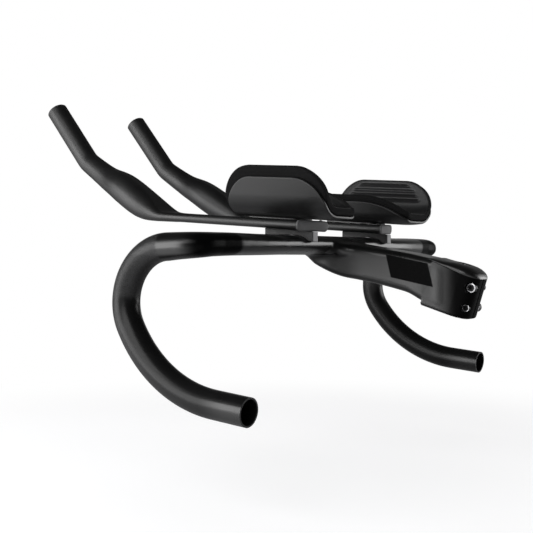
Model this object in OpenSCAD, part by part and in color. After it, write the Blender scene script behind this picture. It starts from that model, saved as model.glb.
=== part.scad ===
// Integrated aero handlebar: a one-piece carbon bar and stem with dropped ends,
// and two upswept extensions that carry forearm cups and foam pads.
// X points forward, Y to the rider's left, Z up, in the riding position.
// The origin is the middle of the steerer bore, on its axis.

/* [Steerer clamp] */
// Diameter of the steerer tube that the clamp holds
steerer_d = 28.6; // [25.4:0.1:31.8]
// Lean of the steerer axis from the vertical, in degrees
head_lean = 17; // [14:0.5:20]
// Height of the clamp along the steerer axis
clamp_h = 39.5; // [36:0.5:46]
// Carbon wall beside the steerer
clamp_wall = 5.7; // [4.5:0.1:7]
// Distance from the steerer axis to the rear land of the clamp
clamp_rear = 21.8; // [21:0.1:26]
// Width of the slit in the rear of the clamp
slit_w = 1.6; // [1:0.1:3]
// Diameter of the two pinch bolts
pinch_d = 5; // [4:0.5:5]
// Distance between the two pinch bolts along the steerer axis
pinch_gap = 19; // [17:0.5:22]
// Thickness of the steerer cover above the middle of the steerer
cover_h = 5.6; // [4.5:0.1:8]

/* [Bar] */
// Height of the wing section at its middle
wing_h = 18.4; // [16:0.2:24]
// Chord of the wing section, front to rear, at its middle
wing_chord = 56; // [48:1:60]
// Distance from the steerer axis forward to the rear edge of the wing
wing_rear = 112; // [95:1:135]
// Height of the top of the wing above the origin
wing_top = 51.4; // [44:0.2:58]

/* [Drops] */
// Distance between the centres of the drop ends
bar_width = 439; // [400:1:460]
// Outer diameter of the drops
drop_d = 23.8; // [22.2:0.1:25.4]
// Carbon wall at the open drop ends
drop_wall = 1.5; // [1.2:0.1:2.5]
// Bend radius of the upper part of the hook
hook_r = 44; // [36:1:52]
// Bend radius of the lower part of the hook
sweep_r = 124; // [90:1:150]
// Length of the straight grip at the drop end
drop_end_l = 34; // [25:1:60]
// Outward lean of the hook, in degrees
drop_flare = 4.5; // [0:0.5:8]

/* [Extensions] */
// Distance between the middles of the two blades
blade_gap = 140; // [110:1:160]
// Width of the flat blade
blade_w = 38; // [34:0.5:44]
// Thickness of the flat blade
blade_t = 8.8; // [7:0.1:10]
// Rise of the blade towards the front, in degrees
blade_rise = 4.1; // [2:0.1:6]
// Diameter of the round grip
grip_d = 22.2; // [20:0.1:24]
// Carbon wall of the grip at its open end
grip_wall = 1.8; // [1.2:0.1:3]
// Length of the straight grip
grip_l = 79; // [60:1:120]
// Rise of the grip from the horizontal, in degrees
grip_rise = 50; // [35:1:60]

/* [Risers and cups] */
// Height of a riser above the wing at its front end
riser_h = 7; // [4:0.2:20]
// Width of a riser
riser_w = 10; // [10:0.5:20]
// Diameter of the riser and cup bolts
stack_bolt_d = 5; // [4:0.5:5]
// Thickness of the plate between blade and cup
plate_t = 1.4; // [1:0.1:6]
// Wall of the arm cup
cup_t = 2.6; // [2:0.1:4]
// Length of the arm cup along the forearm
cup_l = 106.5; // [90:0.5:125]
// Width of the flat floor of the cup
cup_floor_w = 22; // [20:0.5:30]
// Rise of the outer wall of the cup above its bend
cup_wing = 16.5; // [8:0.5:24]
// Rise of the inner wall of the cup above its bend
cup_rim = 11; // [4:0.5:18]
// Thickness of the foam pad
pad_t = 7; // [5:0.5:12]
// Height of the pad above the outer edge of the cup
pad_proud = 9; // [4:0.5:14]

/* [Hidden] */
$fn = 48;

// Colours
carbon = [0.11, 0.11, 0.12];
satin = [0.16, 0.16, 0.17];
grit = [0.22, 0.22, 0.23];
cap_grey = [0.42, 0.42, 0.43];
foam = [0.08, 0.08, 0.085];
steel = [0.62, 0.62, 0.64];

// A gap that keeps seated faces from cutting into each other
seat_gap = 0.1;
// A length that cuts right through any one piece
through = 120;
// Points round a lofted section
ring_n = 24;

// Shared helpers

// A point on a superellipse with half axes a and b at an angle
function squircle(a, b, power, angle) = [
    a * sign(cos(angle)) * pow(abs(cos(angle)), 2 / power),
    b * sign(sin(angle)) * pow(abs(sin(angle)), 2 / power)];

// A point on a rectangle with round corners: a circle when both halves equal the radius
function round_rect(half_w, half_h, r, angle) = [
    (half_w - r) * sign(cos(angle)) + r * cos(angle),
    (half_h - r) * sign(sin(angle)) + r * sin(angle)];

// Blend from one value to another as t goes from 0 to 1
function mix(from, to, t) = from + (to - from) * t;

// Catmull-Rom curve through a list of stations, with some steps between each two
function curve_point(a, b, c, d, t) = 0.5 * (2 * b + (c - a) * t
    + (2 * a - 5 * b + 4 * c - d) * t * t + (3 * b - a - 3 * c + d) * t * t * t);
function curve(stations, steps) = let (last = len(stations) - 1) concat(
    [for (i = [0:last - 1], k = [0:steps - 1]) curve_point(stations[max(i - 1, 0)],
        stations[i], stations[i + 1], stations[min(i + 2, last)], k / steps)],
    [stations[last]]);

// A closed solid through a row of rings that all have the same number of points
module skin(rings) {
    count = len(rings[0]);
    last = len(rings) - 1;
    points = [for (ring = rings, point = ring) point];
    sides = [for (i = [0:last - 1], j = [0:count - 1])
        let (k = (j + 1) % count, low = i * count, high = low + count)
        each [[low + j, high + j, high + k], [low + j, high + k, low + k]]];
    first_cap = [for (j = [0:count - 1]) j];
    last_cap = [for (j = [count - 1:-1:0]) last * count + j];
    polyhedron(points, concat(sides, [first_cap, last_cap]), convexity = 8);
}

// A ring in the plane across a direction in the XZ plane
function cross_ring(centre, heading, half_w, half_h, r) = [
    for (i = [0:ring_n - 1])
        let (p = round_rect(half_w, half_h, min(r, half_w, half_h), 360 * (i + 0.5) / ring_n))
        centre + [-sin(heading) * p[1], p[0], cos(heading) * p[1]]];

// The part on the rider's left, or its mirror image
module side(left) {
    if (left) children();
    else mirror([0, 1, 0]) children();
}

// A socket-head bolt along Z with its seat at zero and its shank below it
module bolt(shank_d, shank_l, head_d, head_h) {
    socket_d = shank_d * 0.8;
    difference() {
        union() {
            cylinder(d = head_d, h = head_h);
            translate([0, 0, -shank_l]) cylinder(d = shank_d, h = shank_l + head_h / 2);
        }
        translate([0, 0, head_h * 0.4]) cylinder(d = socket_d, h = head_h, $fn = 6);
    }
}

// Steerer frame: s forward across the steerer, t up along it

module in_steerer_frame() {
    rotate([0, -head_lean, 0]) children();
}

clamp_half_w = steerer_d / 2 + clamp_wall;
land_half_w = 4.8;
// Length of the rounded rear of the clamp, up to its flat sides
tail_l = 15;
tail_start = tail_l - clamp_rear;
// The cover's seat rises forward a little from square to the steerer
seat_slope = 5.3;
seat_mid = clamp_h / 2 + 0.4;
cover_front = 26;
function seat_t(s) = seat_mid + s * tan(seat_slope);

// Half width of the clamp at a distance s from the steerer axis
function clamp_half(s) = s >= tail_start ? clamp_half_w
    : land_half_w + (clamp_half_w - land_half_w)
        * sqrt(max(0, 1 - pow((tail_start - s) / tail_l, 2)));

clamp_front_s = steerer_d / 2 + 8;
tail_steps = 8;
tail_outline = [for (i = [0:tail_steps])
    let (a = 90 * i / tail_steps, s = tail_start - tail_l * sin(a)) [s, clamp_half(s)]];
clamp_outline = concat([[clamp_front_s, clamp_half_w]], tail_outline,
    [for (i = [tail_steps:-1:0]) [tail_outline[i][0], -tail_outline[i][1]]],
    [[clamp_front_s, -clamp_half_w]]);

// Pinch bolts: the upper one enters from the left, the lower one from the right
pinch_s = -(steerer_d / 2 + pinch_d / 2 + 1.1);
pinch_seat = 8.5;
pinch_head_d = pinch_d * 1.7;
pinch_nut_d = pinch_d + 1.6;
pinch_pocket_gap = 0.5;
pinch_nut_floor = pinch_seat - 2;

// Runs along Y towards the head's side, at the upper or the lower bolt
module at_pinch(upper) {
    in_steerer_frame()
        translate([pinch_s, 0, (upper ? 1 : -1) * pinch_gap / 2])
            rotate([upper ? -90 : 90, 0, 0])
                children();
}

module pinch_cut(upper) {
    at_pinch(upper) {
        cylinder(d = pinch_d + 0.4, h = 2 * clamp_half_w, center = true);
        translate([0, 0, pinch_seat])
            cylinder(d = pinch_head_d + 2 * pinch_pocket_gap, h = through);
        translate([0, 0, -through])
            cylinder(d = pinch_nut_d + 2 * seat_gap, h = through - pinch_nut_floor);
    }
}

// Stem: stations hold forward position, top, bottom and half width

stem_side = clamp_half_w + 0.25;
stem_stations = [
    [-9, 14, -20, clamp_half_w - 2],
    [6, 25, -17.2, stem_side],
    [17, 29.3, -13.3, stem_side],
    [29, 32, -7.8, stem_side],
    [40, 34.2, -2.3, stem_side - 0.3],
    [52, 36.2, 1, stem_side - 0.6],
    [72, 39.2, 5.4, stem_side - 0.4],
    [93, 42.4, 9.2, stem_side],
    [wing_rear, wing_top - 6, 12.4, stem_side + 1],
    [wing_rear + 18, wing_top - 4, 18.8, stem_side + 2],
    [wing_rear + 34, wing_top - 3.5, 26.4, stem_side],
    [wing_rear + 46, wing_top - 5, 34, stem_side - 7]];
stem_corner = 6.5;

// Where the stem's sides sweep out into the rear of the bar
shoulder_stations = [
    [wing_rear - 22, 41.2, 26, stem_side - 1.2],
    [wing_rear - 15, 42.4, 28, stem_side + 0.4],
    [wing_rear - 10, 43.2, 29.5, stem_side + 1.6],
    [wing_rear - 6, 43.9, 31, stem_side + 3.8],
    [wing_rear - 3, 44.3, 32.3, stem_side + 6.8],
    [wing_rear - 0.5, 44.7, 33.2, stem_side + 11.2],
    [wing_rear + 2, 45, 33.6, stem_side + 15.7],
    [wing_rear + 8, 45.8, 34, stem_side + 17.7]];
shoulder_corner = 5.5;

// A loft along X through stations of forward position, top, bottom and half width
module stem_loft(stations, corner) {
    skin([for (station = stations)
        let (top = station[1], bottom = station[2])
        cross_ring([station[0], 0, (top + bottom) / 2], 0, station[3], (top - bottom) / 2,
            corner)]);
}

// The clamp is a prism along the steerer with a small bevel at its foot
module clamp_body() {
    foot = -clamp_h / 2;
    function level(t, inset) = [for (p = clamp_outline)
        [p[0] + (p[0] < 0 ? inset : 0), p[1] - sign(p[1]) * inset, t]];
    in_steerer_frame()
        skin([level(foot, 1.8), level(foot + 0.6, 0.7), level(foot + 1.8, 0),
            level(clamp_h / 2 + 4, 0)]);
}

// Everything above the cover's seat, up to the cover's front edge
module above_seat(clearance) {
    in_steerer_frame()
        translate([0, 0, seat_mid])
            rotate([0, -seat_slope, 0])
                translate([-through, -through / 2, 0])
                    cube([through + cover_front + clearance, through, through]);
}

// Wing: each ring lies across the bar

wing_middle_z = wing_top - wing_h / 2;
wing_front_power = 2.1;
wing_rear_power = 2.7;
wing_end_y = bar_width / 2 - 31.5;
drop_r = drop_d / 2;
drop_bore_l = 28;

// The hook starts where the bar's corner ends, and runs in a plane leaning outward
hook_x = wing_rear + 50;
hook_z = wing_top - drop_r - 0.1;
hook_turn = 122;
sweep_turn = 53;
sweep_centre = [(hook_r - sweep_r) * sin(hook_turn),
    -hook_r + (hook_r - sweep_r) * cos(hook_turn)];
end_heading = hook_turn + sweep_turn;
sweep_end = sweep_centre + sweep_r * [sin(end_heading), cos(end_heading)];
drop_end = sweep_end + drop_end_l * [cos(end_heading), -sin(end_heading)];
hook_y = bar_width / 2 + drop_end[1] * sin(drop_flare);

// Reach from the corner's vertical axis to the bar's front and rear edges
corner_front = 4;
corner_rear = hook_x - wing_rear - 7;
end_front = hook_y - wing_end_y - drop_r;
end_rear = hook_y - wing_end_y + drop_r;
corner_power = 4;
corner_steps = 6;
corner_half_h = 10.25;
corner_middle_z = wing_top + 0.3 - corner_half_h;
// How far a loft stays inside the round tube that it joins
join_inset = 0.06;
join_l = 3;

// A wing ring about a vertical axis, from the reach of its front to that of its rear edge
function wing_ring(axis_x, axis_y, turn, front, rear, middle_z, half_h, power) =
    let (middle = (front + rear) / 2, half = (rear - front) / 2) [
    for (i = [0:ring_n - 1])
        let (angle = 360 * (i + 0.5) / ring_n,
            p = squircle(half_h, half, sin(angle) < 0 ? power : min(power, wing_front_power),
                angle),
            reach = middle - p[1])
        [axis_x - reach * cos(turn), axis_y + reach * sin(turn), middle_z + p[0]]];

// Stations along the straight bar: y, rear edge, chord, middle height and half height
wing_stations = [
    [84, wing_rear, wing_chord, wing_middle_z, wing_h / 2],
    [125, wing_rear + 1, wing_chord - 3, wing_middle_z - 0.3, wing_h / 2 + 0.3],
    [160, wing_rear + 4, wing_chord - 9, wing_middle_z - 0.3, wing_h / 2 + 0.7],
    [wing_end_y, hook_x - corner_rear, corner_rear - corner_front, corner_middle_z,
        corner_half_h]];

// Reach of the rear edge round the squarish corner
function corner_reach(turn) = pow(pow(cos(turn) / corner_rear, corner_power)
    + pow(sin(turn) / end_rear, corner_power), -1 / corner_power);

corner_rings = [for (i = [1:corner_steps]) let (t = i / corner_steps, turn = 90 * t)
    wing_ring(hook_x, wing_end_y, turn, mix(corner_front, end_front, t), corner_reach(turn),
        mix(corner_middle_z, hook_z, t), mix(corner_half_h, drop_r, t),
        mix(wing_rear_power, 2, t))];

// From the hook's own plane, which leans outward, to the part's frame
function from_hook(x, y, z) = [hook_x + x, hook_y + y * cos(drop_flare) - z * sin(drop_flare),
    hook_z + y * sin(drop_flare) + z * cos(drop_flare)];

// A round ring across the drop, at a place and a heading in the hook's plane
function tube_ring(centre, heading, r) = [for (i = [0:ring_n - 1])
    let (angle = 360 * (i + 0.5) / ring_n, up = r * cos(angle))
    from_hook(centre[0] + up * sin(heading), -r * sin(angle), centre[1] + up * cos(heading))];

hook_steps = 11;
sweep_steps = 6;
end_direction = [cos(end_heading), -sin(end_heading)];
drop_rings = concat(
    [for (i = [1:hook_steps]) let (h = hook_turn * i / hook_steps)
        tube_ring([hook_r * sin(h), hook_r * cos(h) - hook_r], h, drop_r)],
    [for (i = [1:sweep_steps]) let (h = hook_turn + sweep_turn * i / sweep_steps)
        tube_ring(sweep_centre + sweep_r * [sin(h), cos(h)], h,
            drop_r - (i == sweep_steps ? join_inset : 0))],
    [tube_ring(sweep_end + join_l * end_direction, end_heading, drop_r - 1)]);

function mirrored(ring) = [for (p = ring) [p[0], -p[1], p[2]]];

// The whole bar is one loft, from the middle out to the open ends on both sides
module bar_body() {
    left = concat([for (st = wing_stations) wing_ring(hook_x, st[0], 0,
        hook_x - st[1] - st[2], hook_x - st[1], st[3], st[4], wing_rear_power)],
        corner_rings, drop_rings);
    skin(concat([for (i = [len(left) - 1:-1:0]) mirrored(left[i])], left));
}

module in_hook_plane() {
    translate([hook_x, hook_y, hook_z]) rotate([drop_flare, 0, 0]) children();
}

// A cylinder along the straight drop end, from the end of the bends
module drop_end_bar(r, from, to) {
    in_hook_plane()
        translate([sweep_end[0], 0, sweep_end[1]])
            rotate([0, 90 + end_heading, 0])
                translate([0, 0, from]) cylinder(r = r, h = to - from);
}

// Bridge frame: u along the blade, v outward from its middle, w up from its middle

riser_front = 160;
bridge_x = 130;
bridge_z = wing_top + riser_h + blade_t / 2 / cos(blade_rise)
    - (riser_front - bridge_x) * tan(blade_rise);
module at_bridge() {
    translate([bridge_x, blade_gap / 2, bridge_z]) rotate([0, -blade_rise, 0]) children();
}
riser_bolt_u = [-5, 20];
cup_bolt_u = [8, 38];
sink_h = 2.4;
sink_d = stack_bolt_d * 1.9;
riser_bolt_l = 26;

// End cap: a flange over the blade's slanted rear end, with a plug held by a small screw
cap_slant = 13;
cap_rear_u = -20.7;
cap_flange = 2.2;
cap_lip = 0.6;
cap_plug_u = -12;
plug_wall = 1.7;
cap_screw_d = 2.2;
cap_screw_u = -19.6;
cap_screw_v = -(blade_w / 2 - 5);

// Port under the stem, where the hoses go in
port_x = 32;
port_z = -6.8;
port_slope = 28;
port_l = 18;
port_w = 13;
port_t = 2.4;
port_proud = 0.9;
port_screw_s = port_l / 2 - 2.4;
port_screw_d = 2;
port_screw_l = 7;
module at_port() {
    translate([port_x, 0, port_z]) rotate([0, -port_slope, 0]) rotate([180, 0, 0]) children();
}
module port_screw_holes() {
    for (s = [-1, 1]) translate([s * port_screw_s, 0, -port_screw_l - 1])
        cylinder(d = port_screw_d + seat_gap, h = 2 * port_screw_l);
}

module barstem() {
    color(carbon)
        difference() {
            union() {
                bar_body();
                stem_loft(curve(stem_stations, 2), stem_corner);
                stem_loft(shoulder_stations, shoulder_corner);
                clamp_body();
                for (left = [true, false]) side(left) drop_end_bar(drop_r, 0, drop_end_l);
            }
            above_seat(0.4);
            in_steerer_frame() {
                cylinder(d = steerer_d, h = through, center = true);
                translate([-through, -slit_w / 2, -through / 2]) cube([through, slit_w, through]);
            }
            pinch_cut(true);
            pinch_cut(false);
            for (left = [true, false]) side(left) {
                drop_end_bar(drop_r - drop_wall, drop_end_l - drop_bore_l, drop_end_l + 5);
                at_bridge() for (u = riser_bolt_u)
                    translate([u, 0, 1 - riser_bolt_l])
                        cylinder(d = stack_bolt_d + seat_gap, h = riser_bolt_l);
            }
            at_port() {
                translate([0, 0, port_proud - port_t]) port_plate(seat_gap, 4 * port_t);
                port_screw_holes();
            }
        }
}

// Steerer cover: a wedge that ends in a round tail over the clamp's tail

crown_stations = [[-clamp_rear + 0.1, 0.08], [-clamp_rear + 1.2, 0.42], [-clamp_rear + 5.5, 0.9],
    [-8, 1.16], [4, 0.96], [14, 0.58], [cover_front, 0.22]];
crown_power = 2.8;
cover_n = 18;
// The steerer's own plug sits under the cover, which is hollowed for it up to this height
plug_top = 22;
cover_bolt_t = seat_mid + cover_h - 2.25;
cover_bolt_d = 6;
cover_head_d = 10;
module steerer_cover() {
    color(satin)
        difference() {
            in_steerer_frame()
                skin([for (station = curve(crown_stations, 3))
                    let (s = station[0], floor_t = seat_t(s) + seat_gap)
                    [for (i = [0:cover_n])
                        let (p = squircle(clamp_half(s), station[1] * cover_h, crown_power,
                            180 * i / cover_n))
                        [s, p[0], floor_t + p[1]]]]);
            in_steerer_frame() {
                cylinder(r = steerer_d / 2 + 0.3, h = plug_top);
                cylinder(d = cover_bolt_d + 0.4, h = 2 * clamp_h);
                translate([0, 0, cover_bolt_t - seat_gap])
                    cylinder(d = cover_head_d + 1.4, h = 2 * cover_h);
            }
        }
}

module steerer_cover_bolt() {
    color(steel)
        in_steerer_frame() translate([0, 0, cover_bolt_t])
            bolt(cover_bolt_d, cover_bolt_t - plug_top - 0.05, cover_head_d, 2.2);
}

module pinch_bolt(upper) {
    color(steel)
        at_pinch(upper) translate([0, 0, pinch_seat + seat_gap])
            bolt(pinch_d, 2 * pinch_seat + 0.5, pinch_head_d, pinch_d);
}
module pinch_bolt_upper() { pinch_bolt(true); }
module pinch_bolt_lower() { pinch_bolt(false); }

// A sleeve nut with a socket, threaded on the far end of its pinch bolt
module pinch_nut(upper) {
    nut_l = 5.5;
    color(steel)
        at_pinch(upper) translate([0, 0, -pinch_nut_floor - seat_gap - nut_l])
            difference() {
                cylinder(d = pinch_nut_d, h = nut_l);
                translate([0, 0, 3]) cylinder(d = pinch_d + seat_gap, h = nut_l);
                translate([0, 0, -1]) cylinder(d = 3.4, h = 3, $fn = 6);
            }
}
module pinch_nut_upper() { pinch_nut(true); }
module pinch_nut_lower() { pinch_nut(false); }

// Port cover: a small plate let into the stem's underside, with two screws

module port_plate(gap, h) {
    skin([for (z = [0, h]) [for (i = [0:ring_n - 1])
        let (p = round_rect(port_l / 2 + gap, port_w / 2 + gap, 4, 360 * (i + 0.5) / ring_n))
        [p[0], p[1], z]]]);
}
module port_cover() {
    color(satin)
        at_port() difference() {
            translate([0, 0, port_proud - port_t + seat_gap]) port_plate(0, port_t - seat_gap);
            port_screw_holes();
        }
}
module port_cover_screws() {
    color(steel)
        at_port() for (s = [-1, 1])
            translate([s * port_screw_s, 0, port_proud + 0.02])
                dome_screw(port_screw_d, port_screw_l, 3.6, 1);
}

// A screw along Z with a domed head whose seat is at zero
module dome_screw(shank_d, shank_l, head_d, head_h) {
    dome_r = (head_d * head_d / 4 + head_h * head_h) / (2 * head_h);
    intersection() {
        translate([0, 0, head_h - dome_r]) sphere(r = dome_r);
        cylinder(d = head_d + 1, h = head_h);
    }
    translate([0, 0, -shank_l]) cylinder(d = shank_d, h = shank_l + head_h / 3);
}

// Riser: a narrow block shaped to the wing's top, with a heel behind the wing

riser_rear = wing_rear - 5.5;
riser_heel_z = wing_top - 6.5;
riser_corner = 2.2;
riser_steps = 16;
function blade_foot_z(x) = bridge_z + (x - bridge_x) * tan(blade_rise)
    - blade_t / 2 / cos(blade_rise);
// Height of the wing's top surface at a forward position
function wing_skin_z(x) =
    let (half = wing_chord / 2, dx = (x - wing_rear - half) / half,
        power = dx < 0 ? wing_rear_power : wing_front_power)
    wing_middle_z + wing_h / 2 * pow(max(0, 1 - pow(abs(dx), power)), 1 / power);
// The riser's top is lower behind here, under the end cap's flange
riser_step_x = bridge_x + cap_rear_u + cap_flange + 2;
riser_step_h = cap_lip + 2 * seat_gap;
riser_profile = concat(
    [[riser_rear, riser_heel_z], [riser_rear, blade_foot_z(riser_rear) - riser_step_h],
        [riser_step_x, blade_foot_z(riser_step_x) - riser_step_h],
        [riser_step_x, blade_foot_z(riser_step_x) - seat_gap],
        [riser_front, blade_foot_z(riser_front) - seat_gap]],
    [for (i = [0:riser_steps]) let (x = mix(riser_front, wing_rear + 3, i / riser_steps))
        [x, wing_skin_z(x) + 1.5 * seat_gap]],
    [[wing_rear + 1, wing_skin_z(wing_rear + 1.2)], [wing_rear - seat_gap, riser_heel_z + 0.6]]);

module riser() {
    y = blade_gap / 2;
    low = riser_heel_z - 5;
    difference() {
        intersection() {
            translate([0, y + riser_w / 2, 0]) rotate([90, 0, 0])
                linear_extrude(riser_w) polygon(riser_profile);
            union() {
                translate([riser_rear + riser_corner, y - riser_w, low])
                    cube([through, 2 * riser_w, through]);
                translate([riser_rear - 1, y - riser_w / 2 + riser_corner, low])
                    cube([through, riser_w - 2 * riser_corner, through]);
                for (v = [-1, 1])
                    translate([riser_rear + riser_corner, y + v * (riser_w / 2 - riser_corner), low])
                        cylinder(r = riser_corner, h = through);
            }
        }
        at_bridge() for (u = riser_bolt_u)
            translate([u, 0, 0]) cylinder(d = stack_bolt_d + 0.4, h = through, center = true);
    }
}
module riser_left() { color(grit) side(true) riser(); }
module riser_right() { color(grit) side(false) riser(); }

module riser_bolts() {
    top = blade_t / 2 - 0.1;
    at_bridge() for (u = riser_bolt_u) translate([u, 0, 0]) difference() {
        union() {
            translate([0, 0, top - sink_h]) cylinder(d1 = stack_bolt_d, d2 = sink_d, h = sink_h);
            translate([0, 0, 2 - riser_bolt_l]) cylinder(d = stack_bolt_d, h = riser_bolt_l);
        }
        translate([0, 0, top - 1.8]) cylinder(d = 3.4, h = 4, $fn = 6);
    }
}
module riser_bolts_left() { color(steel) side(true) riser_bolts(); }
module riser_bolts_right() { color(steel) side(false) riser_bolts(); }

// Extension: flat blade, thick wrist bend and round grip, moulded in one piece

blade_front_u = 155;
blade_round = 0.9;
grip_r = grip_d / 2;
grip_shift = -6.3;
grip_bore_l = 40;
// Wrist stations: forward and up from the blade's end, inward shift, half width, half height
wrist_stations = [
    [0, 0, 0, blade_w / 2, blade_t / 2],
    [13.6, 5, 0, blade_w / 2 - 0.1, blade_t / 2 + 5.2],
    [36, 15.1, -2.2, blade_w / 2 - 0.6, grip_r + 3.7],
    [66.5, 33, -3.9, blade_w / 2 - 0.8, grip_r + 3.6],
    [88, 43, -5, mix(blade_w / 2, grip_r, 0.8), grip_r + 1.6],
    [120.4, 62.6, grip_shift, grip_r - join_inset, grip_r - join_inset]];
blade_axis = [cos(blade_rise), sin(blade_rise)];
blade_end = [bridge_x, bridge_z] + blade_front_u * blade_axis;
grip_axis = [cos(grip_rise), sin(grip_rise)];
knee = blade_end + [wrist_stations[5][0], wrist_stations[5][1]];
join_at = 5;

module extension_loft() {
    y = blade_gap / 2;
    wrist = curve(wrist_stations, 3);
    last = len(wrist) - 1;
    blade_rings = [for (u = [cap_rear_u - 10, blade_front_u - 12])
        let (p = [bridge_x, bridge_z] + u * blade_axis)
        cross_ring([p[0], y, p[1]], blade_rise, blade_w / 2, blade_t / 2,
            blade_t / 2 * blade_round)];
    wrist_rings = [for (i = [0:last])
        let (before = wrist[max(i - 1, 0)], after = wrist[min(i + 1, last)],
            slope = atan2(after[1] - before[1], after[0] - before[0]),
            heading = i == 0 ? blade_rise : i == last ? (slope + grip_rise) / 2 : slope,
            here = wrist[i])
        cross_ring([blade_end[0] + here[0], y + here[2], blade_end[1] + here[1]], heading,
            here[3], here[4], here[4] * 0.98)];
    grip_rings = [for (step = [[join_at, join_inset], [join_at + join_l, 1]])
        let (p = knee + step[0] * grip_axis, r = grip_r - step[1])
        cross_ring([p[0], y + grip_shift, p[1]], grip_rise, r, r, r)];
    skin(concat(blade_rings, wrist_rings, grip_rings));
}

// Runs along the grip's axis, from the knee
module at_grip() {
    translate([knee[0], blade_gap / 2 + grip_shift, knee[1]]) rotate([0, 90 - grip_rise, 0])
        children();
}

// Everything behind a slanted plane across the blade
module behind_slant(u) {
    translate([u, 0, 0]) rotate([0, 0, -cap_slant])
        translate([-through, -through / 2, -through / 2]) cube(through);
}

module extension() {
    difference() {
        union() {
            extension_loft();
            at_grip() translate([0, 0, join_at]) cylinder(r = grip_r, h = grip_l - join_at);
        }
        at_bridge() {
            behind_slant(cap_rear_u + cap_flange);
            blade_core(plug_wall, cap_rear_u - 10, cap_plug_u + 0.5);
            for (u = riser_bolt_u) translate([u, 0, 0]) {
                cylinder(d = stack_bolt_d + 0.4, h = through, center = true);
                translate([0, 0, blade_t / 2 - 0.1 - sink_h])
                    cylinder(d1 = stack_bolt_d + 0.4, d2 = sink_d + 0.4, h = sink_h + 0.2);
            }
            for (u = cup_bolt_u)
                translate([u, 0, -blade_t / 2 + 1.6])
                    cylinder(d = stack_bolt_d + seat_gap, h = blade_t);
            translate([cap_screw_u, cap_screw_v, 0])
                cylinder(d = cap_screw_d + 2 * seat_gap, h = blade_t);
        }
        at_grip() translate([0, 0, grip_l - grip_bore_l])
            cylinder(r = grip_r - grip_wall, h = grip_bore_l + 10);
    }
}
module extension_left() { color(carbon) side(true) extension(); }
module extension_right() { color(carbon) side(false) extension(); }

// A prism inside the blade's rear end, at a distance below its skin
module blade_core(inset, from, to) {
    half_h = blade_t / 2 - inset;
    skin([for (u = [from, to])
        cross_ring([u, 0, 0], 0, blade_w / 2 - inset, half_h, half_h * blade_round)]);
}

module end_cap() {
    half_w = (blade_w / 2 + cap_lip) / cos(cap_slant);
    half_h = blade_t / 2 + cap_lip;
    flange_l = cap_flange * cos(cap_slant) - seat_gap;
    function cap_ring(depth, inset) = [for (i = [0:ring_n - 1])
        let (p = round_rect(half_w - inset, half_h - inset, (half_h - inset) * blade_round,
            360 * (i + 0.5) / ring_n))
        [depth, p[0], p[1]]];
    at_bridge() difference() {
        union() {
            translate([cap_rear_u, 0, 0]) rotate([0, 0, -cap_slant])
                skin([cap_ring(0, 1.1), cap_ring(0.4, 0.35), cap_ring(1.1, 0), cap_ring(flange_l, 0)]);
            difference() {
                blade_core(plug_wall + seat_gap, cap_rear_u - 10, cap_plug_u);
                behind_slant(cap_rear_u + cap_flange / 2);
            }
        }
        translate([cap_screw_u, cap_screw_v, -0.6])
            cylinder(d = cap_screw_d + seat_gap, h = blade_t);
    }
}
module end_cap_left() { color(cap_grey) side(true) end_cap(); }
module end_cap_right() { color(cap_grey) side(false) end_cap(); }

module end_cap_screw() {
    at_bridge() translate([cap_screw_u, cap_screw_v, blade_t / 2 + 0.02])
        dome_screw(cap_screw_d, 4.6, 4.4, 1.3);
}
module end_cap_screw_left() { color(steel) side(true) end_cap_screw(); }
module end_cap_screw_right() { color(steel) side(false) end_cap_screw(); }

// Cup plate: a flat spacer between the blade and the cup's floor

plate_u = [-12.5, 46];
plate_half_w = 14;
module cup_plate() {
    length = plate_u[1] - plate_u[0];
    at_bridge() difference() {
        translate([(plate_u[0] + plate_u[1]) / 2, 0, blade_t / 2 + seat_gap])
            skin([for (z = [0, plate_t - seat_gap]) [for (i = [0:ring_n - 1])
                let (p = round_rect(length / 2, plate_half_w, 5, 360 * (i + 0.5) / ring_n))
                [p[0], p[1], z]]]);
        for (u = cup_bolt_u) translate([u, 0, 0]) cylinder(d = stack_bolt_d + 0.4, h = blade_t * 2);
    }
}
module cup_plate_left() { color(satin) side(true) cup_plate(); }
module cup_plate_right() { color(satin) side(false) cup_plate(); }

// Cup and pad share one trough: s runs across it from the middle of the floor,
// positive outward, u runs along it, and depth is measured inward from the cup's skin

floor_half = cup_floor_w / 2;
wing_bend_r = 26;
rim_bend_r = 16;
wing_lean = 14;
rim_lean = 20;
trough_v = 1;
cup_front_u = 53;
cup_rear_u = cup_front_u - cup_l;
cup_base_w = blade_t / 2 + plate_t;
curl_start = 32;
curl_h = 2;

// Half of the trough's section, from the middle of the floor up a bend and a straight wall
function half_section(s, depth, bend_r, lean) =
    let (bend_l = bend_r * (90 - lean) * PI / 180,
        angle = min(90 - lean, max(0, (s - floor_half) / bend_r * 180 / PI)),
        flat = min(s, floor_half), wall = max(0, s - floor_half - bend_l))
    [flat + (bend_r - depth) * sin(angle) + wall * sin(lean),
        bend_r - (bend_r - depth) * cos(angle) + wall * cos(lean)];

function trough_point(s, u, depth) =
    let (p = s >= 0 ? half_section(s, depth, wing_bend_r, wing_lean)
            : half_section(-s, depth, rim_bend_r, rim_lean),
        curl = curl_h * pow(max(0, -u - curl_start) / (cup_l / 2 - curl_start), 2))
    [u, trough_v + sign(s) * p[0], p[1] + curl];

wing_bend_l = wing_bend_r * (90 - wing_lean) * PI / 180;
rim_bend_l = rim_bend_r * (90 - rim_lean) * PI / 180;
wing_s = floor_half + wing_bend_l + cup_wing;
rim_s = floor_half + rim_bend_l + cup_rim;

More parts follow.
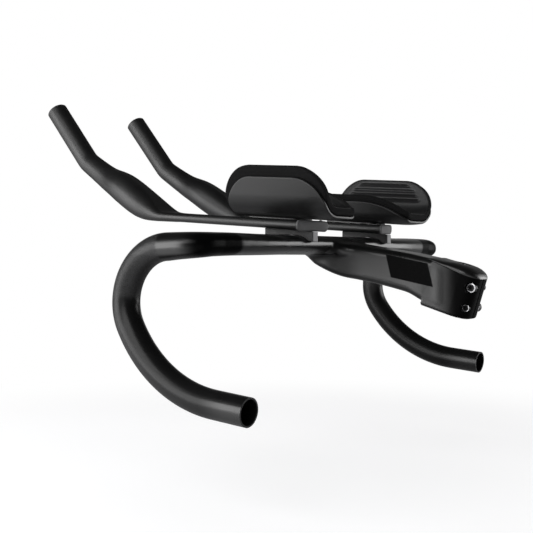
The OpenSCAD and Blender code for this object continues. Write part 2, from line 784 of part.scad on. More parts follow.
// Rows through the bends that every sheet shares, so that their faces stay parallel there
rim_rows = 5;
wing_rows = 6;
shared_rows = concat([for (i = [rim_rows:-1:0]) -floor_half - rim_bend_l * i / rim_rows],
    [for (i = [0:wing_rows]) floor_half + wing_bend_l * i / wing_rows]);

// Round corners of the trough's outline as [across, along]
rear_wing_corner = [30, 31];
rear_rim_corner = [26, 50];
front_wing_corner = [30, 27];
front_rim_corner = [20, 20];
outline_power = 1.85;

// How far a corner pulls the end of the sheet back at a distance s from the middle
function corner_pull(s, s_end, corner) =
    let (t = max(0, min(1, (s - s_end + corner[0]) / corner[0])))
    corner[1] * (1 - pow(1 - pow(t, outline_power), 1 / outline_power));

// A sheet on the trough: limits are [inner s, outer s, rear u, front u],
// corners are [rear inner, rear outer, front inner, front outer],
// layers are [depth, inset] from the outer to the inner face,
// and ends are the distances from either edge to the rows that round the corners
module sheet(limits, corners, layers, ends, columns) {
    reach = ends[len(ends) - 1];
    inside = [for (s = shared_rows) if (s > limits[0] + reach && s < limits[1] - reach) s];
    rows = len(inside) + 2 * len(ends) + 1;
    function row_list(low, high) = concat([low], [for (e = ends) low + e], inside,
        [for (i = [len(ends) - 1:-1:0]) high - ends[i]], [high]);
    function grid_point(layer, i, j) =
        let (inset = layer[1], low = limits[0] + inset, high = limits[1] - inset,
            s = row_list(low, high)[i],
            pull_rear = s < 0 ? corner_pull(-s, -low, corners[0]) : corner_pull(s, high, corners[1]),
            pull_front = s < 0 ? corner_pull(-s, -low, corners[2]) : corner_pull(s, high, corners[3]),
            rear = limits[2] + inset + pull_rear, front = limits[3] - inset - pull_front)
        trough_point(s, mix(rear, front, j / columns), layer[0]);
    function edge_cell(k) = k < columns ? [0, k]
        : k < columns + rows ? [k - columns, columns]
        : k < 2 * columns + rows ? [rows, 2 * columns + rows - k]
        : [2 * columns + 2 * rows - k, 0];
    around = 2 * (rows + columns);
    grid_size = (rows + 1) * (columns + 1);
    inner_layers = len(layers) - 2;
    points = concat(
        [for (i = [0:rows], j = [0:columns]) grid_point(layers[0], i, j)],
        [for (i = [0:rows], j = [0:columns]) grid_point(layers[len(layers) - 1], i, j)],
        [for (m = [1:inner_layers], k = [0:around - 1])
            grid_point(layers[m], edge_cell(k)[0], edge_cell(k)[1])]);
    function grid_index(level, i, j) = level * grid_size + i * (columns + 1) + j;
    // Index of edge point k on a layer, where the first and last layers are the grids
    function edge_index(m, k) = let (cell = edge_cell(k % around))
        m == 0 ? grid_index(0, cell[0], cell[1])
        : m == inner_layers + 1 ? grid_index(1, cell[0], cell[1])
        : 2 * grid_size + (m - 1) * around + k % around;
    faces = concat(
        [for (i = [0:rows - 1], j = [0:columns - 1], level = [0, 1])
            let (a = grid_index(level, i, j), b = grid_index(level, i, j + 1),
                c = grid_index(level, i + 1, j + 1), d = grid_index(level, i + 1, j))
            each level == 0 ? [[a, b, c], [a, c, d]] : [[a, c, b], [a, d, c]]],
        [for (m = [0:inner_layers], k = [0:around - 1])
            let (a = edge_index(m, k), b = edge_index(m + 1, k), c = edge_index(m + 1, k + 1),
                d = edge_index(m, k + 1))
            each [[a, b, c], [a, c, d]]]);
    polyhedron(points, faces, convexity = 8);
}

trough_corners = [rear_rim_corner, rear_wing_corner, front_rim_corner, front_wing_corner];

module at_cup() { at_bridge() translate([0, 0, cup_base_w]) children(); }

module arm_cup() {
    at_cup() difference() {
        sheet([-rim_s, wing_s, cup_rear_u, cup_front_u], trough_corners,
            [[0, 0.5], [cup_t * 0.35, 0], [cup_t * 0.75, 0], [cup_t, 0.4]], [1.2, 3.5, 8], 8);
        for (u = cup_bolt_u) translate([u, 0, -cup_t])
            cylinder(d = stack_bolt_d + 0.4, h = 3 * cup_t);
    }
}
module arm_cup_left() { color(satin) side(true) arm_cup(); }
module arm_cup_right() { color(satin) side(false) arm_cup(); }

cup_head_h = 1.8;
cup_head_d = 10;
module cup_bolts() {
    at_cup() for (u = cup_bolt_u) translate([u, 0, cup_t + 0.05])
        bolt(stack_bolt_d, cup_t + plate_t + 6, cup_head_d, cup_head_h);
}
module cup_bolts_left() { color(steel) side(true) cup_bolts(); }
module cup_bolts_right() { color(steel) side(false) cup_bolts(); }

// Hook-and-loop strips between cup and pad
strip_t = 0.8;
strip_corner = [3, 3];
strip_ends = [1, 3];
strip_corners = [strip_corner, strip_corner, strip_corner, strip_corner];
strip_gap = 0.05;
module pad_strips() {
    low = cup_t + strip_gap;
    high = cup_t + strip_t - strip_gap;
    at_cup() {
        for (u = [[6 - curl_start, -2], [14, 32]])
            sheet([-floor_half, floor_half, u[0], u[1]], strip_corners, [[low, 0], [high, 0]],
                strip_ends, 2);
        sheet([floor_half + wing_bend_l, wing_s - 7, -22, 26], strip_corners, [[low, 0], [high, 0]],
            strip_ends, 2);
    }
}
module pad_strips_left() { color(foam) side(true) pad_strips(); }
module pad_strips_right() { color(foam) side(false) pad_strips(); }

module arm_pad() {
    low = cup_t + strip_t;
    rim_proud = pad_proud * 0.5;
    pad_over = 4.5;
    at_cup() difference() {
        sheet([-rim_s - rim_proud, wing_s + pad_proud, cup_rear_u,
            cup_front_u + pad_over], trough_corners,
            [[low, 0.8], [low + pad_t * 0.25, 0], [low + pad_t * 0.7, 0.2], [low + pad_t, 1.8]],
            [1.2, 3.5, 8, 13], 8);
        for (u = cup_bolt_u) translate([u, 0, 0])
            cylinder(d = cup_head_d + 1, h = cup_t + cup_head_h + 0.6);
    }
}
module arm_pad_left() { color(foam) side(true) arm_pad(); }
module arm_pad_right() { color(foam) side(false) arm_pad(); }

barstem();
steerer_cover();
steerer_cover_bolt();
port_cover();
port_cover_screws();
pinch_bolt_upper();
pinch_bolt_lower();
pinch_nut_upper();
pinch_nut_lower();
riser_left();
riser_right();
riser_bolts_left();
riser_bolts_right();
extension_left();
extension_right();
end_cap_left();
end_cap_right();
end_cap_screw_left();
end_cap_screw_right();
cup_plate_left();
cup_plate_right();
arm_cup_left();
arm_cup_right();
cup_bolts_left();
cup_bolts_right();
pad_strips_left();
pad_strips_right();
arm_pad_left();
arm_pad_right();
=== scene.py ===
"""Looks of the integrated aero handlebar: smooth carbon pieces, foam pads, bolts, studio and camera."""

from math import cos, pi, radians, sin, tan

import bmesh
import bpy
import numpy as np
from mathutils import Matrix, Quaternion, Vector
from mathutils.bvhtree import BVHTree


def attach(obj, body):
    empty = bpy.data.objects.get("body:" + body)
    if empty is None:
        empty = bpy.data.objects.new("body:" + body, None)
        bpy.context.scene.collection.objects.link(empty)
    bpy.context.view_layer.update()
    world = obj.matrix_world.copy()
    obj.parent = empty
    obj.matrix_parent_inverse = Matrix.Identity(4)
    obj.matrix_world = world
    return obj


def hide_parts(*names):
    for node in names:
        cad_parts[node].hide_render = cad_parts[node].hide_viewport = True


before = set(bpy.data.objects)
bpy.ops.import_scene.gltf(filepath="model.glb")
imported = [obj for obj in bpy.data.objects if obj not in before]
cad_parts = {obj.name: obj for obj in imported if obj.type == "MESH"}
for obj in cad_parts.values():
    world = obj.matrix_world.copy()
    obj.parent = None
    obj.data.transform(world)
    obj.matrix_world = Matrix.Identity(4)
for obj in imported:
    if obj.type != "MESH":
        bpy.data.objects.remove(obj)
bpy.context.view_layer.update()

MM = 0.001

# Sizes in mm, as in the part's source
STEERER_D = 28.6
HEAD_LEAN = 17
CLAMP_H = 39.5
CLAMP_WALL = 5.7
CLAMP_REAR = 21.8
SLIT_W = 1.6
PINCH_D = 5
PINCH_GAP = 19
COVER_H = 5.6
WING_H = 18.4
WING_CHORD = 56
WING_REAR = 112
WING_TOP = 51.4
BAR_WIDTH = 439
DROP_D = 23.8
DROP_WALL = 1.5
HOOK_R = 44
SWEEP_R = 124
DROP_END_L = 34
DROP_BORE_L = 28
DROP_FLARE = 4.5
BLADE_GAP = 140
BLADE_W = 38
BLADE_T = 8.8
BLADE_RISE = 4.1
GRIP_D = 22.2
GRIP_WALL = 1.8
GRIP_L = 79
GRIP_BORE_L = 40
GRIP_RISE = 50
RISER_H = 7
PLATE_T = 1.4
CUP_T = 2.6
CUP_L = 106.5
CUP_FLOOR_W = 22
CUP_WING = 16.5
CUP_RIM = 11
PAD_T = 7
PAD_PROUD = 9
STRIP_T = 0.8
SEAT_SLOPE = 5.3
SEAT_MID = CLAMP_H / 2 + 0.4
COVER_FRONT = 26
COVER_GAP = 0.4

RING_N = 96
# A gap that keeps seated faces apart
SEAT_GAP = 0.1
# Reach of the cutters: along the clamp, across it and round a drop end
THROUGH = 60
THROUGH_SIDE = 40
END_CUT_R = 20
MIRROR = Matrix.Diagonal((1, -1, 1, 1))


# Maths helpers

def power_sign(value, power):
    return np.sign(value) * np.abs(value) ** power


def squircle(a, b, power, angle):
    """Points on a superellipse with half axes a and b."""
    return a * power_sign(np.cos(angle), 2 / power), b * power_sign(np.sin(angle), 2 / power)


def round_rect(half_w, half_h, r, angle):
    """Points on a rectangle with round corners."""
    return ((half_w - r) * np.sign(np.cos(angle)) + r * np.cos(angle),
            (half_h - r) * np.sign(np.sin(angle)) + r * np.sin(angle))


def even_round_rect(half_w, half_h, r, count):
    """The same outline with its points evenly spaced along it."""
    angle = np.radians(360 * (np.arange(count * 8) + 0.5) / (count * 8))
    x, y = round_rect(half_w, half_h, r, angle)
    return even_loop(np.stack([x, y], axis=1), count)


def even_loop(points, count):
    """A closed outline sampled again at even steps."""
    closed = np.vstack([points, points[:1]])
    lengths = np.linalg.norm(np.diff(closed, axis=0), axis=1)
    at = np.concatenate([[0], np.cumsum(lengths)])
    want = np.arange(count) / count * at[-1]
    return np.stack([np.interp(want, at, closed[:, k]) for k in range(points.shape[1])], axis=1)


def mix(a, b, t):
    return a + (b - a) * t


def curve(stations, steps):
    """Catmull-Rom curve through a list of stations."""
    s = np.array(stations, dtype=float)
    last = len(s) - 1
    out = []
    for i in range(last):
        a, b, c, d = s[max(i - 1, 0)], s[i], s[i + 1], s[min(i + 2, last)]
        for k in range(steps):
            t = k / steps
            out.append(0.5 * (2 * b + (c - a) * t + (2 * a - 5 * b + 4 * c - d) * t ** 2
                              + (3 * b - a - 3 * c + d) * t ** 3))
    out.append(s[last])
    return np.array(out)


def smooth_step(low, high, value):
    t = np.clip((value - low) / (high - low), 0, 1)
    return t * t * (3 - 2 * t)


# Mesh helpers

def linked(name, data):
    """A new object in the scene."""
    ob = bpy.data.objects.new(name, data)
    bpy.context.scene.collection.objects.link(ob)
    return ob


def new_object(name, points_mm, faces):
    mesh = bpy.data.meshes.new(name)
    mesh.from_pydata([tuple(p) for p in np.asarray(points_mm) * MM], [], faces)
    mesh.validate()
    mesh.update()
    return linked(name, mesh)


def outward(ob):
    """Turns every face outward."""
    bm = bmesh.new()
    bm.from_mesh(ob.data)
    bmesh.ops.recalc_face_normals(bm, faces=bm.faces)
    bm.to_mesh(ob.data)
    bm.free()
    return ob


def skin(name, rings):
    """A closed loft through rings with the same number of points."""
    n = len(rings[0])
    points = np.vstack(rings)
    faces = []
    for i in range(len(rings) - 1):
        low, high = i * n, (i + 1) * n
        faces += [(low + j, high + j, high + (j + 1) % n, low + (j + 1) % n) for j in range(n)]
    faces.append(tuple(range(n)))
    faces.append(tuple(range((len(rings) - 1) * n, len(rings) * n))[::-1])
    return outward(new_object(name, points, faces))


def joined(name, objects):
    """One object from several closed meshes."""
    bm = bmesh.new()
    for ob in objects:
        bm.from_mesh(ob.data)
    mesh = bpy.data.meshes.new(name)
    bm.to_mesh(mesh)
    bm.free()
    for ob in objects:
        remove(ob)
    return linked(name, mesh)


def remove(ob):
    mesh = ob.data
    bpy.data.objects.remove(ob)
    bpy.data.meshes.remove(mesh)


def apply_modifiers(ob):
    graph = bpy.context.evaluated_depsgraph_get()
    mesh = bpy.data.meshes.new_from_object(ob.evaluated_get(graph))
    old = ob.data
    ob.modifiers.clear()
    ob.data = mesh
    bpy.data.meshes.remove(old)
    return ob


def voxel(ob, size_mm):
    m = ob.modifiers.new("voxel", "REMESH")
    m.mode = "VOXEL"
    m.voxel_size = size_mm * MM
    return apply_modifiers(ob)


def cut(ob, cutters, operation="DIFFERENCE"):
    for cutter in cutters:
        m = ob.modifiers.new("cut", "BOOLEAN")
        m.operation = operation
        m.solver = "MANIFOLD"
        m.object = cutter
        apply_modifiers(ob)
        remove(cutter)
    return ob


def vertices(ob):
    co = np.empty(len(ob.data.vertices) * 3)
    ob.data.vertices.foreach_get("co", co)
    return co.reshape(-1, 3)


def set_vertices(ob, co):
    ob.data.vertices.foreach_set("co", np.asarray(co, dtype=float).ravel())
    ob.data.update()


def neighbour_mean(ob):
    """A function that gives the mean of each vertex's neighbours."""
    edges = np.empty(len(ob.data.edges) * 2, dtype=int)
    ob.data.edges.foreach_get("vertices", edges)
    edges = edges.reshape(-1, 2)
    count = np.bincount(edges.ravel(), minlength=len(ob.data.vertices)).astype(float)[:, None]

    def mean(co):
        total = np.zeros_like(co)
        np.add.at(total, edges[:, 0], co[edges[:, 1]])
        np.add.at(total, edges[:, 1], co[edges[:, 0]])
        return total / count

    return mean


def relax(ob, rounds, step=0.5, regrowth=1.04):
    """Laplacian smoothing whose shrinkage is taken out again."""
    mean = neighbour_mean(ob)
    co = vertices(ob)
    for i in range(rounds):
        for factor in (step, -step * regrowth):
            co = co + (mean(co) - co) * factor
    set_vertices(ob, co)


def fillet(ob, weight, rounds, step=0.6):
    """Plain Laplacian smoothing, for the inner corner between two bodies."""
    mean = neighbour_mean(ob)
    co = vertices(ob)
    for i in range(rounds):
        co = co + (mean(co) - co) * step * weight[:, None]
    set_vertices(ob, co)


def shade(ob, angle):
    """Smooth faces, with a sharp edge wherever two of them meet at more than the angle."""
    ob.data.shade_smooth()
    ob.data.set_sharp_from_angle(angle=radians(angle))
    return ob


def place(ob, matrix):
    ob.data.transform(matrix)
    return ob


def copy_of(ob):
    return linked(ob.name + "_copy", ob.data.copy())


def mirror_copy(ob, name):
    """The same piece on the rider's right."""
    mesh = ob.data.copy()
    mesh.transform(MIRROR)
    mesh.flip_normals()
    return linked(name, mesh)


def cylinder(name, r, low, high, matrix, n=RING_N):
    """A cylinder round the matrix's own Z axis."""
    angle = 2 * pi * np.arange(n) / n
    rings = [np.column_stack([r * np.cos(angle), r * np.sin(angle), np.full(n, z)])
             for z in (low, high)]
    return place(skin(name, rings), matrix)


def block(name, low, high, matrix=None):
    x0, y0, z0 = low
    x1, y1, z1 = high
    rings = [np.array([(x0, y0, z), (x1, y0, z), (x1, y1, z), (x0, y1, z)]) for z in (z0, z1)]
    ob = skin(name, rings)
    return place(ob, matrix) if matrix is not None else ob


def moved(x, y, z):
    return Matrix.Translation((x * MM, y * MM, z * MM))


def turned(axis, degrees):
    return Matrix.Rotation(radians(degrees), 4, axis)


def finish_piece(ob, node, materials):
    """Gives a piece its materials, hangs it on the root body and hides the CAD node that it stands for."""
    # Clearing an empty list would reset the material of each face
    if ob.data.materials:
        ob.data.materials.clear()
    for material in materials:
        ob.data.materials.append(material)
    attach(ob, "root")
    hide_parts(node)
    return ob


# Materials

class Graph:
    """Adds nodes to a shader tree. A value is a number, a colour, a vector or another node's socket."""

    def __init__(self, tree):
        self.nodes = tree.nodes
        self.links = tree.links

    def feed(self, socket, value):
        if isinstance(value, bpy.types.NodeSocket):
            self.links.new(value, socket)
        else:
            socket.default_value = value

    def fill(self, node, values):
        for name, value in values.items():
            self.feed(node.inputs[name], value)

    def node(self, kind, *values, **settings):
        """A new node with its settings and its first inputs."""
        n = self.nodes.new("ShaderNode" + kind)
        for name, value in settings.items():
            setattr(n, name, value)
        for socket, value in zip(n.inputs, values):
            self.feed(socket, value)
        return n

    def object_coords(self):
        return self.node("TexCoord").outputs["Object"]

    def normal(self):
        return self.node("NewGeometry").outputs["Normal"]

    def split(self, vector):
        """The three parts of a vector."""
        return self.node("SeparateXYZ", vector).outputs

    def noise(self, coords, scale, detail=2.0, roughness=0.5):
        n = self.node("TexNoise")
        self.fill(n, {"Vector": coords, "Scale": scale, "Detail": detail, "Roughness": roughness})
        return n.outputs["Fac"]

    def ramp(self, source, low, high, at=(0.3, 0.7)):
        n = self.node("ValToRGB", source)
        for stop, position, colour in zip(n.color_ramp.elements, at, (low, high)):
            stop.position = position
            stop.color = colour
        return n.outputs["Color"]

    def bump(self, height, strength, distance_mm):
        n = self.node("Bump")
        self.fill(n, {"Height": height, "Strength": strength, "Distance": distance_mm * MM})
        return n.outputs["Normal"]

    def math(self, operation, first, second=0.0):
        return self.node("Math", first, second, operation=operation).outputs["Value"]

    def product(self, *masks):
        out = masks[0]
        for mask in masks[1:]:
            out = self.math("MULTIPLY", out, mask)
        return out

    def vector_math(self, operation, first, second, output="Value"):
        return self.node("VectorMath", first, second, operation=operation).outputs[output]

    def mix(self, factor, first, second, data_type="FLOAT", blend="MIX"):
        n = self.node("Mix", data_type=data_type, blend_type=blend)
        self.fill(n, {"Factor": factor, "A": first, "B": second})
        return n.outputs["Result"]

    def mix_colour(self, factor, first, second, blend="MIX"):
        return self.mix(factor, first, second, "RGBA", blend)

    def map_range(self, source, span, low, high):
        """From low to high, softly, while the source runs through the span."""
        return self.node("MapRange", source, span[0], span[1], low, high,
                         interpolation_type="SMOOTHSTEP").outputs["Result"]

    def rise(self, source, span_mm):
        return self.map_range(source, (span_mm[0] * MM, span_mm[1] * MM), 0, 1)

    def fall(self, source, span_mm):
        return self.map_range(source, (span_mm[0] * MM, span_mm[1] * MM), 1, 0)


def new_material(name):
    m = bpy.data.materials.new(name)
    m.use_nodes = True
    return m, Graph(m.node_tree), m.node_tree.nodes["Principled BSDF"]


def grey(value):
    return (value, value, value * 1.02, 1)


def satin_material(name, base, roughness, grain_scale=900, grain_strength=0.12, spread=0.15,
                   metallic=0.0, specular=0.5):
    """A smooth moulded or painted surface with a fine grain and slow changes of tone."""
    m, g, shader = new_material(name)
    coords = g.object_coords()
    slow = g.noise(coords, 28, 3)
    g.fill(shader, {
        "Base Color": g.ramp(slow, grey(base * (1 - spread)), grey(base * (1 + spread))),
        "Roughness": g.ramp(slow, grey(roughness - 0.04), grey(roughness + 0.05)),
        "Metallic": metallic,
        "Specular IOR Level": specular})
    if grain_strength > 0:
        g.fill(shader, {"Normal": g.bump(g.noise(coords, grain_scale, 2), grain_strength, 0.05)})
    return m


def grit_and_highlight_material(name, base, rear, roughness):
    """A rough moulded surface with small grains; faces that look rearward get a painted highlight, a lighter
    grey.
    """
    m, g, shader = new_material(name)
    grains = g.noise(g.object_coords(), 1500, 4, 0.7)
    tone = g.ramp(grains, grey(base * 0.5), grey(base * 1.6), (0.35, 0.65))
    # Painted highlight: faces whose normal points rearward turn to the lighter grey given as rear
    rearward = g.map_range(g.split(g.normal())["X"], (-0.95, -0.75), 1, 0)
    g.fill(shader, {
        "Base Color": g.mix_colour(rearward, tone, grey(rear)),
        "Roughness": roughness,
        "Normal": g.bump(grains, 0.6, 0.25)})
    return m


# Plain dark field on both sides of the stem: a corner and its two edges, as (forward, up)
FIELD_CORNER = np.array([19.0, 25.3])
FIELD_ALONG = np.array([42.9, 8.2])
FIELD_DOWN = np.array([-5.4, -21.2])
FIELD_OUT_FROM = 17.5
FIELD_SOFT = 0.012
SEAM_W = 0.55
# Spans of painted shade on the carbon: at the clamp and behind the bends a darker tone and a dimmed
# reflection, at the stem's root a dimmed reflection only
CLAMP_SHADE_X = (-9, 12)
ROOT_SHADE_X = (85, 115)
ROOT_SHADE_Z = (31, 34)
BEND_SHADE_X = (126, 146)
BEND_SHADE_Y = (163, 169)
BEND_SHADE_Z = (15, 25)


def field_mask(g, coords):
    """1 on the plain dark field on the sides of the stem, 0 elsewhere."""
    x, y, z = g.split(coords)
    to_field = np.linalg.inv(np.stack([FIELD_ALONG, FIELD_DOWN], axis=1) * MM)
    middle = to_field @ (FIELD_CORNER * MM) + 0.5
    mask = g.math("GREATER_THAN", g.math("ABSOLUTE", y), FIELD_OUT_FROM * MM)
    for (by_x, by_z), shift in zip(to_field, middle):
        place_in = g.math("ADD", g.math("MULTIPLY", x, by_x), g.math("MULTIPLY", z, by_z))
        away = g.math("ABSOLUTE", g.math("SUBTRACT", place_in, shift))
        mask = g.product(mask, g.map_range(away, (0.5 - FIELD_SOFT, 0.5 + FIELD_SOFT), 1, 0))
    return mask


def seam_mask(g, coords):
    """1 on a thin line of the stem just below the cover's seat, 0 elsewhere."""
    seat = turned("Y", -HEAD_LEAN) @ moved(0, 0, SEAT_MID) @ turned("Y", -SEAT_SLOPE)
    sides = []
    for axis, low, high in ((seat.col[2].xyz, -SEAM_W, SEAT_GAP),
                            (seat.col[0].xyz, -THROUGH, COVER_FRONT + COVER_GAP)):
        at = g.math("SUBTRACT", g.vector_math("DOT_PRODUCT", coords, axis), seat.translation.dot(axis))
        sides += [g.math("GREATER_THAN", at, low * MM), g.math("LESS_THAN", at, high * MM)]
    return g.product(*sides)


def carbon_material():
    """Satin carbon: a rough anti-slip band where the mesh says so, a matt field, and painted shade at the
    clamp, the stem's root and behind the bends.
    """
    m, g, shader = new_material("satin_carbon")
    coords = g.object_coords()
    x, y, z = g.split(coords)
    slow = g.noise(coords, 24, 3)
    grains = g.noise(coords, 1400, 4, 0.7)
    grit = g.node("Attribute", attribute_name="grit").outputs["Fac"]
    field = g.math("MAXIMUM", field_mask(g, coords), seam_mask(g, coords))
    # Masks of painted shade: at the clamp, at the stem's root and behind the bends
    clamp = g.fall(x, CLAMP_SHADE_X)
    root = g.product(g.rise(x, ROOT_SHADE_X), g.fall(z, ROOT_SHADE_Z))
    bend = g.product(g.rise(g.math("ABSOLUTE", y), BEND_SHADE_Y), g.fall(x, BEND_SHADE_X), g.rise(z, BEND_SHADE_Z))
    tone = g.mix_colour(grit, g.ramp(slow, grey(0.0045), grey(0.0065)),
                        g.ramp(grains, grey(0.003), grey(0.035), (0.35, 0.65)))
    rough = g.mix(grit, g.ramp(slow, grey(0.27), grey(0.32)), 0.42)
    # Painted shade: the reflection is dimmed at the stem's root, and the clamp and the area behind the bends
    # are also painted darker; the matt field and the seam line are the stem's own finish
    specular = g.mix(root, g.mix(grit, 0.5, 0.3), 0.2)
    for mask, field_or_shade_tone in ((clamp, 0.003), (bend, 0.002), (field, 0.004)):
        tone = g.mix_colour(mask, tone, grey(field_or_shade_tone))
        specular = g.mix(mask, specular, 0.02)
    g.fill(shader, {
        "Base Color": tone,
        "Roughness": g.mix(field, rough, 0.6),
        "Specular IOR Level": specular,
        "Normal": g.bump(g.product(grains, grit), 0.35, 0.2)})
    return m


def ring_steel_material(name, centre, ring_r):
    """A dark bolt whose head shows a bright ring; the bolt's axis runs across the bar."""
    m, g, shader = new_material(name)
    flat = g.vector_math("MULTIPLY", g.object_coords(), (1, 0, 1), "Vector")
    away = g.vector_math("DISTANCE", flat, (centre[0], 0, centre[2]))
    ring = g.rise(away, (ring_r - 0.15, ring_r + 0.15))
    facing = g.math("GREATER_THAN", g.math("ABSOLUTE", g.split(g.normal())["Y"]), 0.5)
    g.fill(shader, {
        "Base Color": g.mix_colour(g.product(ring, facing), grey(0.02), grey(0.55)),
        "Roughness": 0.45,
        "Metallic": 1.0})
    return m


def foam_material(name, base, cell_mm, depth_mm, roughness=0.85, sheen=0.05, specular=0.35):
    """Foam with a fine textile skin: small cells in rows, with slow changes of tone."""
    m, g, shader = new_material(name)
    coords = g.object_coords()
    texture = g.node("TexVoronoi")
    g.fill(texture, {"Vector": coords, "Scale": 1000 / cell_mm, "Randomness": 0.55})
    cells = texture.outputs["Distance"]
    tone = g.ramp(cells, grey(base * 1.5), grey(base * 0.45), (0.1, 0.8))
    shadow = g.ramp(g.noise(coords, 40, 3), grey(0.8), grey(1.0))
    g.fill(shader, {
        "Base Color": g.mix_colour(1, tone, shadow, "MULTIPLY"),
        "Roughness": roughness,
        "Sheen Weight": sheen,
        "Sheen Roughness": 0.5,
        "Specular IOR Level": specular,
        "Normal": g.bump(cells, -0.7, depth_mm)})
    return m


carbon = carbon_material()
extension_carbon = satin_material("extension_carbon", 0.006, 0.42, 700, 0)
cup_satin = satin_material("cup_satin", 0.007, 0.38, 1200, 0.03, specular=0.35)
cover_satin = satin_material("cover_satin", 0.006, 0.34, 1100, 0.05)
# The risers' rearward faces get a painted highlight of grey 0.35
riser_grit_painted_highlight = grit_and_highlight_material("riser_grit_painted_highlight", 0.016, rear=0.35, roughness=0.6)
cap_grey = satin_material("cap_grey", 0.11, 0.5, 1300, 0.2, 0.08, specular=0.3)
bolt_steel = satin_material("bolt_steel", 0.5, 0.3, 2500, 0.1, 0.1, metallic=1.0)
dark_steel = satin_material("dark_steel", 0.08, 0.35, 2500, 0.1, 0.1, metallic=0.8)
pad_side = foam_material("pad_side", 0.006, 0.9, 0.3, roughness=0.9, sheen=0.0, specular=0.15)
pad_skin = foam_material("pad_skin", 0.010, 0.5, 0.04, roughness=0.45, sheen=0.04, specular=0.4)
strip_cloth = foam_material("strip_cloth", 0.01, 0.7, 0.2)


# Steerer frame and clamp

IN_STEERER = turned("Y", -HEAD_LEAN)
CLAMP_HALF_W = STEERER_D / 2 + CLAMP_WALL
LAND_HALF_W = 4.8
TAIL_L = 15
TAIL_START = TAIL_L - CLAMP_REAR
TAIL_STEPS = 40
CLAMP_FRONT = STEERER_D / 2 + 8


def clamp_half(s):
    """Half width of the clamp at a distance s from the steerer axis."""
    if s >= TAIL_START:
        return CLAMP_HALF_W
    fullness = max(0, 1 - ((TAIL_START - s) / TAIL_L) ** 2) ** 0.5
    return LAND_HALF_W + (CLAMP_HALF_W - LAND_HALF_W) * fullness


def clamp_ring(t, inset):
    """The clamp's outline at a height t along the steerer."""
    tail_s = [TAIL_START - TAIL_L * sin(pi / 2 * i / TAIL_STEPS) for i in range(TAIL_STEPS + 1)]
    tail = [(s, clamp_half(s)) for s in tail_s]
    outline = [(CLAMP_FRONT, CLAMP_HALF_W)] + tail
    outline += [(s, -y) for s, y in reversed(tail)] + [(CLAMP_FRONT, -CLAMP_HALF_W)]
    return np.array([(s + (inset if s < 0 else 0), y - np.sign(y) * inset, t) for s, y in outline])


def seat_block(clearance):
    """The space above the cover's seat."""
    matrix = IN_STEERER @ moved(0, 0, SEAT_MID) @ turned("Y", -SEAT_SLOPE)
    return block("seat_cut", (-THROUGH, -THROUGH_SIDE, 0),
                 (COVER_FRONT + clearance, THROUGH_SIDE, 30), matrix)


PINCH_S = -(STEERER_D / 2 + PINCH_D / 2 + 1.1)
PINCH_SEAT = 8.5
PINCH_HEAD_D = PINCH_D * 1.7
PINCH_NUT_D = PINCH_D + 1.6
PINCH_POCKET_GAP = 0.5


def at_pinch(upper):
    sign = 1 if upper else -1
    return IN_STEERER @ moved(PINCH_S, 0, sign * PINCH_GAP / 2) @ turned("X", -90 * sign)


# Stem stations: forward position, top, bottom, half width

STEM_SIDE = CLAMP_HALF_W + 0.25
STEM_STATIONS = [
    (-9, 14, -20, CLAMP_HALF_W - 2),
    (6, 25, -17.2, STEM_SIDE),
    (17, 29.3, -13.3, STEM_SIDE),
    (29, 32, -7.8, STEM_SIDE),
    (40, 34.2, -2.3, STEM_SIDE - 0.3),
    (52, 36.2, 1, STEM_SIDE - 0.6),
    (72, 39.2, 5.4, STEM_SIDE - 0.4),
    (93, 42.4, 9.2, STEM_SIDE),
    (WING_REAR, WING_TOP - 6, 12.4, STEM_SIDE + 1),
    (WING_REAR + 18, WING_TOP - 4, 18.8, STEM_SIDE + 2),
    (WING_REAR + 34, WING_TOP - 3.5, 26.4, STEM_SIDE),
    (WING_REAR + 46, WING_TOP - 5, 34, STEM_SIDE - 7)]
STEM_CORNER = 6.5
SHOULDER_STATIONS = [
    (WING_REAR - 22, 41.2, 26, STEM_SIDE - 1.2),
    (WING_REAR - 15, 42.4, 28, STEM_SIDE + 0.4),
    (WING_REAR - 10, 43.2, 29.5, STEM_SIDE + 1.6),
    (WING_REAR - 6, 43.9, 31, STEM_SIDE + 3.8),
    (WING_REAR - 3, 44.3, 32.3, STEM_SIDE + 6.8),
    (WING_REAR - 0.5, 44.7, 33.2, STEM_SIDE + 11.2),
    (WING_REAR + 2, 45, 33.6, STEM_SIDE + 15.7),
    (WING_REAR + 8, 45.8, 34, STEM_SIDE + 17.7)]
SHOULDER_CORNER = 5.5


def stem_loft(name, stations, corner):
    rings = []
    for x, top, bottom, half_w in curve(stations, 10):
        outline = even_round_rect(half_w, (top - bottom) / 2, corner, RING_N)
        rings.append(np.column_stack([np.full(RING_N, x), outline[:, 0],
                                      outline[:, 1] + (top + bottom) / 2]))
    return skin(name, rings)


def clamp_mesh():
    foot = -CLAMP_H / 2
    rings = [clamp_ring(foot, 1.8), clamp_ring(foot + 0.6, 0.7), clamp_ring(foot + 1.8, 0),
             clamp_ring(CLAMP_H / 2 + 4, 0)]
    return place(skin("clamp_mesh", rings), IN_STEERER)


# Bar: wing, squarish corner, hook and sweep

WING_MIDDLE_Z = WING_TOP - WING_H / 2
WING_FRONT_POWER = 2.1
WING_REAR_POWER = 2.7
WING_END_Y = BAR_WIDTH / 2 - 31.5
DROP_R = DROP_D / 2
HOOK_X = WING_REAR + 50
HOOK_Z = WING_TOP - DROP_R - 0.1
HOOK_TURN = 122
SWEEP_TURN = 53
SWEEP_CENTRE = np.array([(HOOK_R - SWEEP_R) * sin(radians(HOOK_TURN)),
                         -HOOK_R + (HOOK_R - SWEEP_R) * cos(radians(HOOK_TURN))])
END_HEADING = HOOK_TURN + SWEEP_TURN
# Turn in degrees from one ring to the next
HOOK_STEP = 2.975
SWEEP_STEP = 1.3


def heading_point(h):
    return np.array([sin(radians(h)), cos(radians(h))])


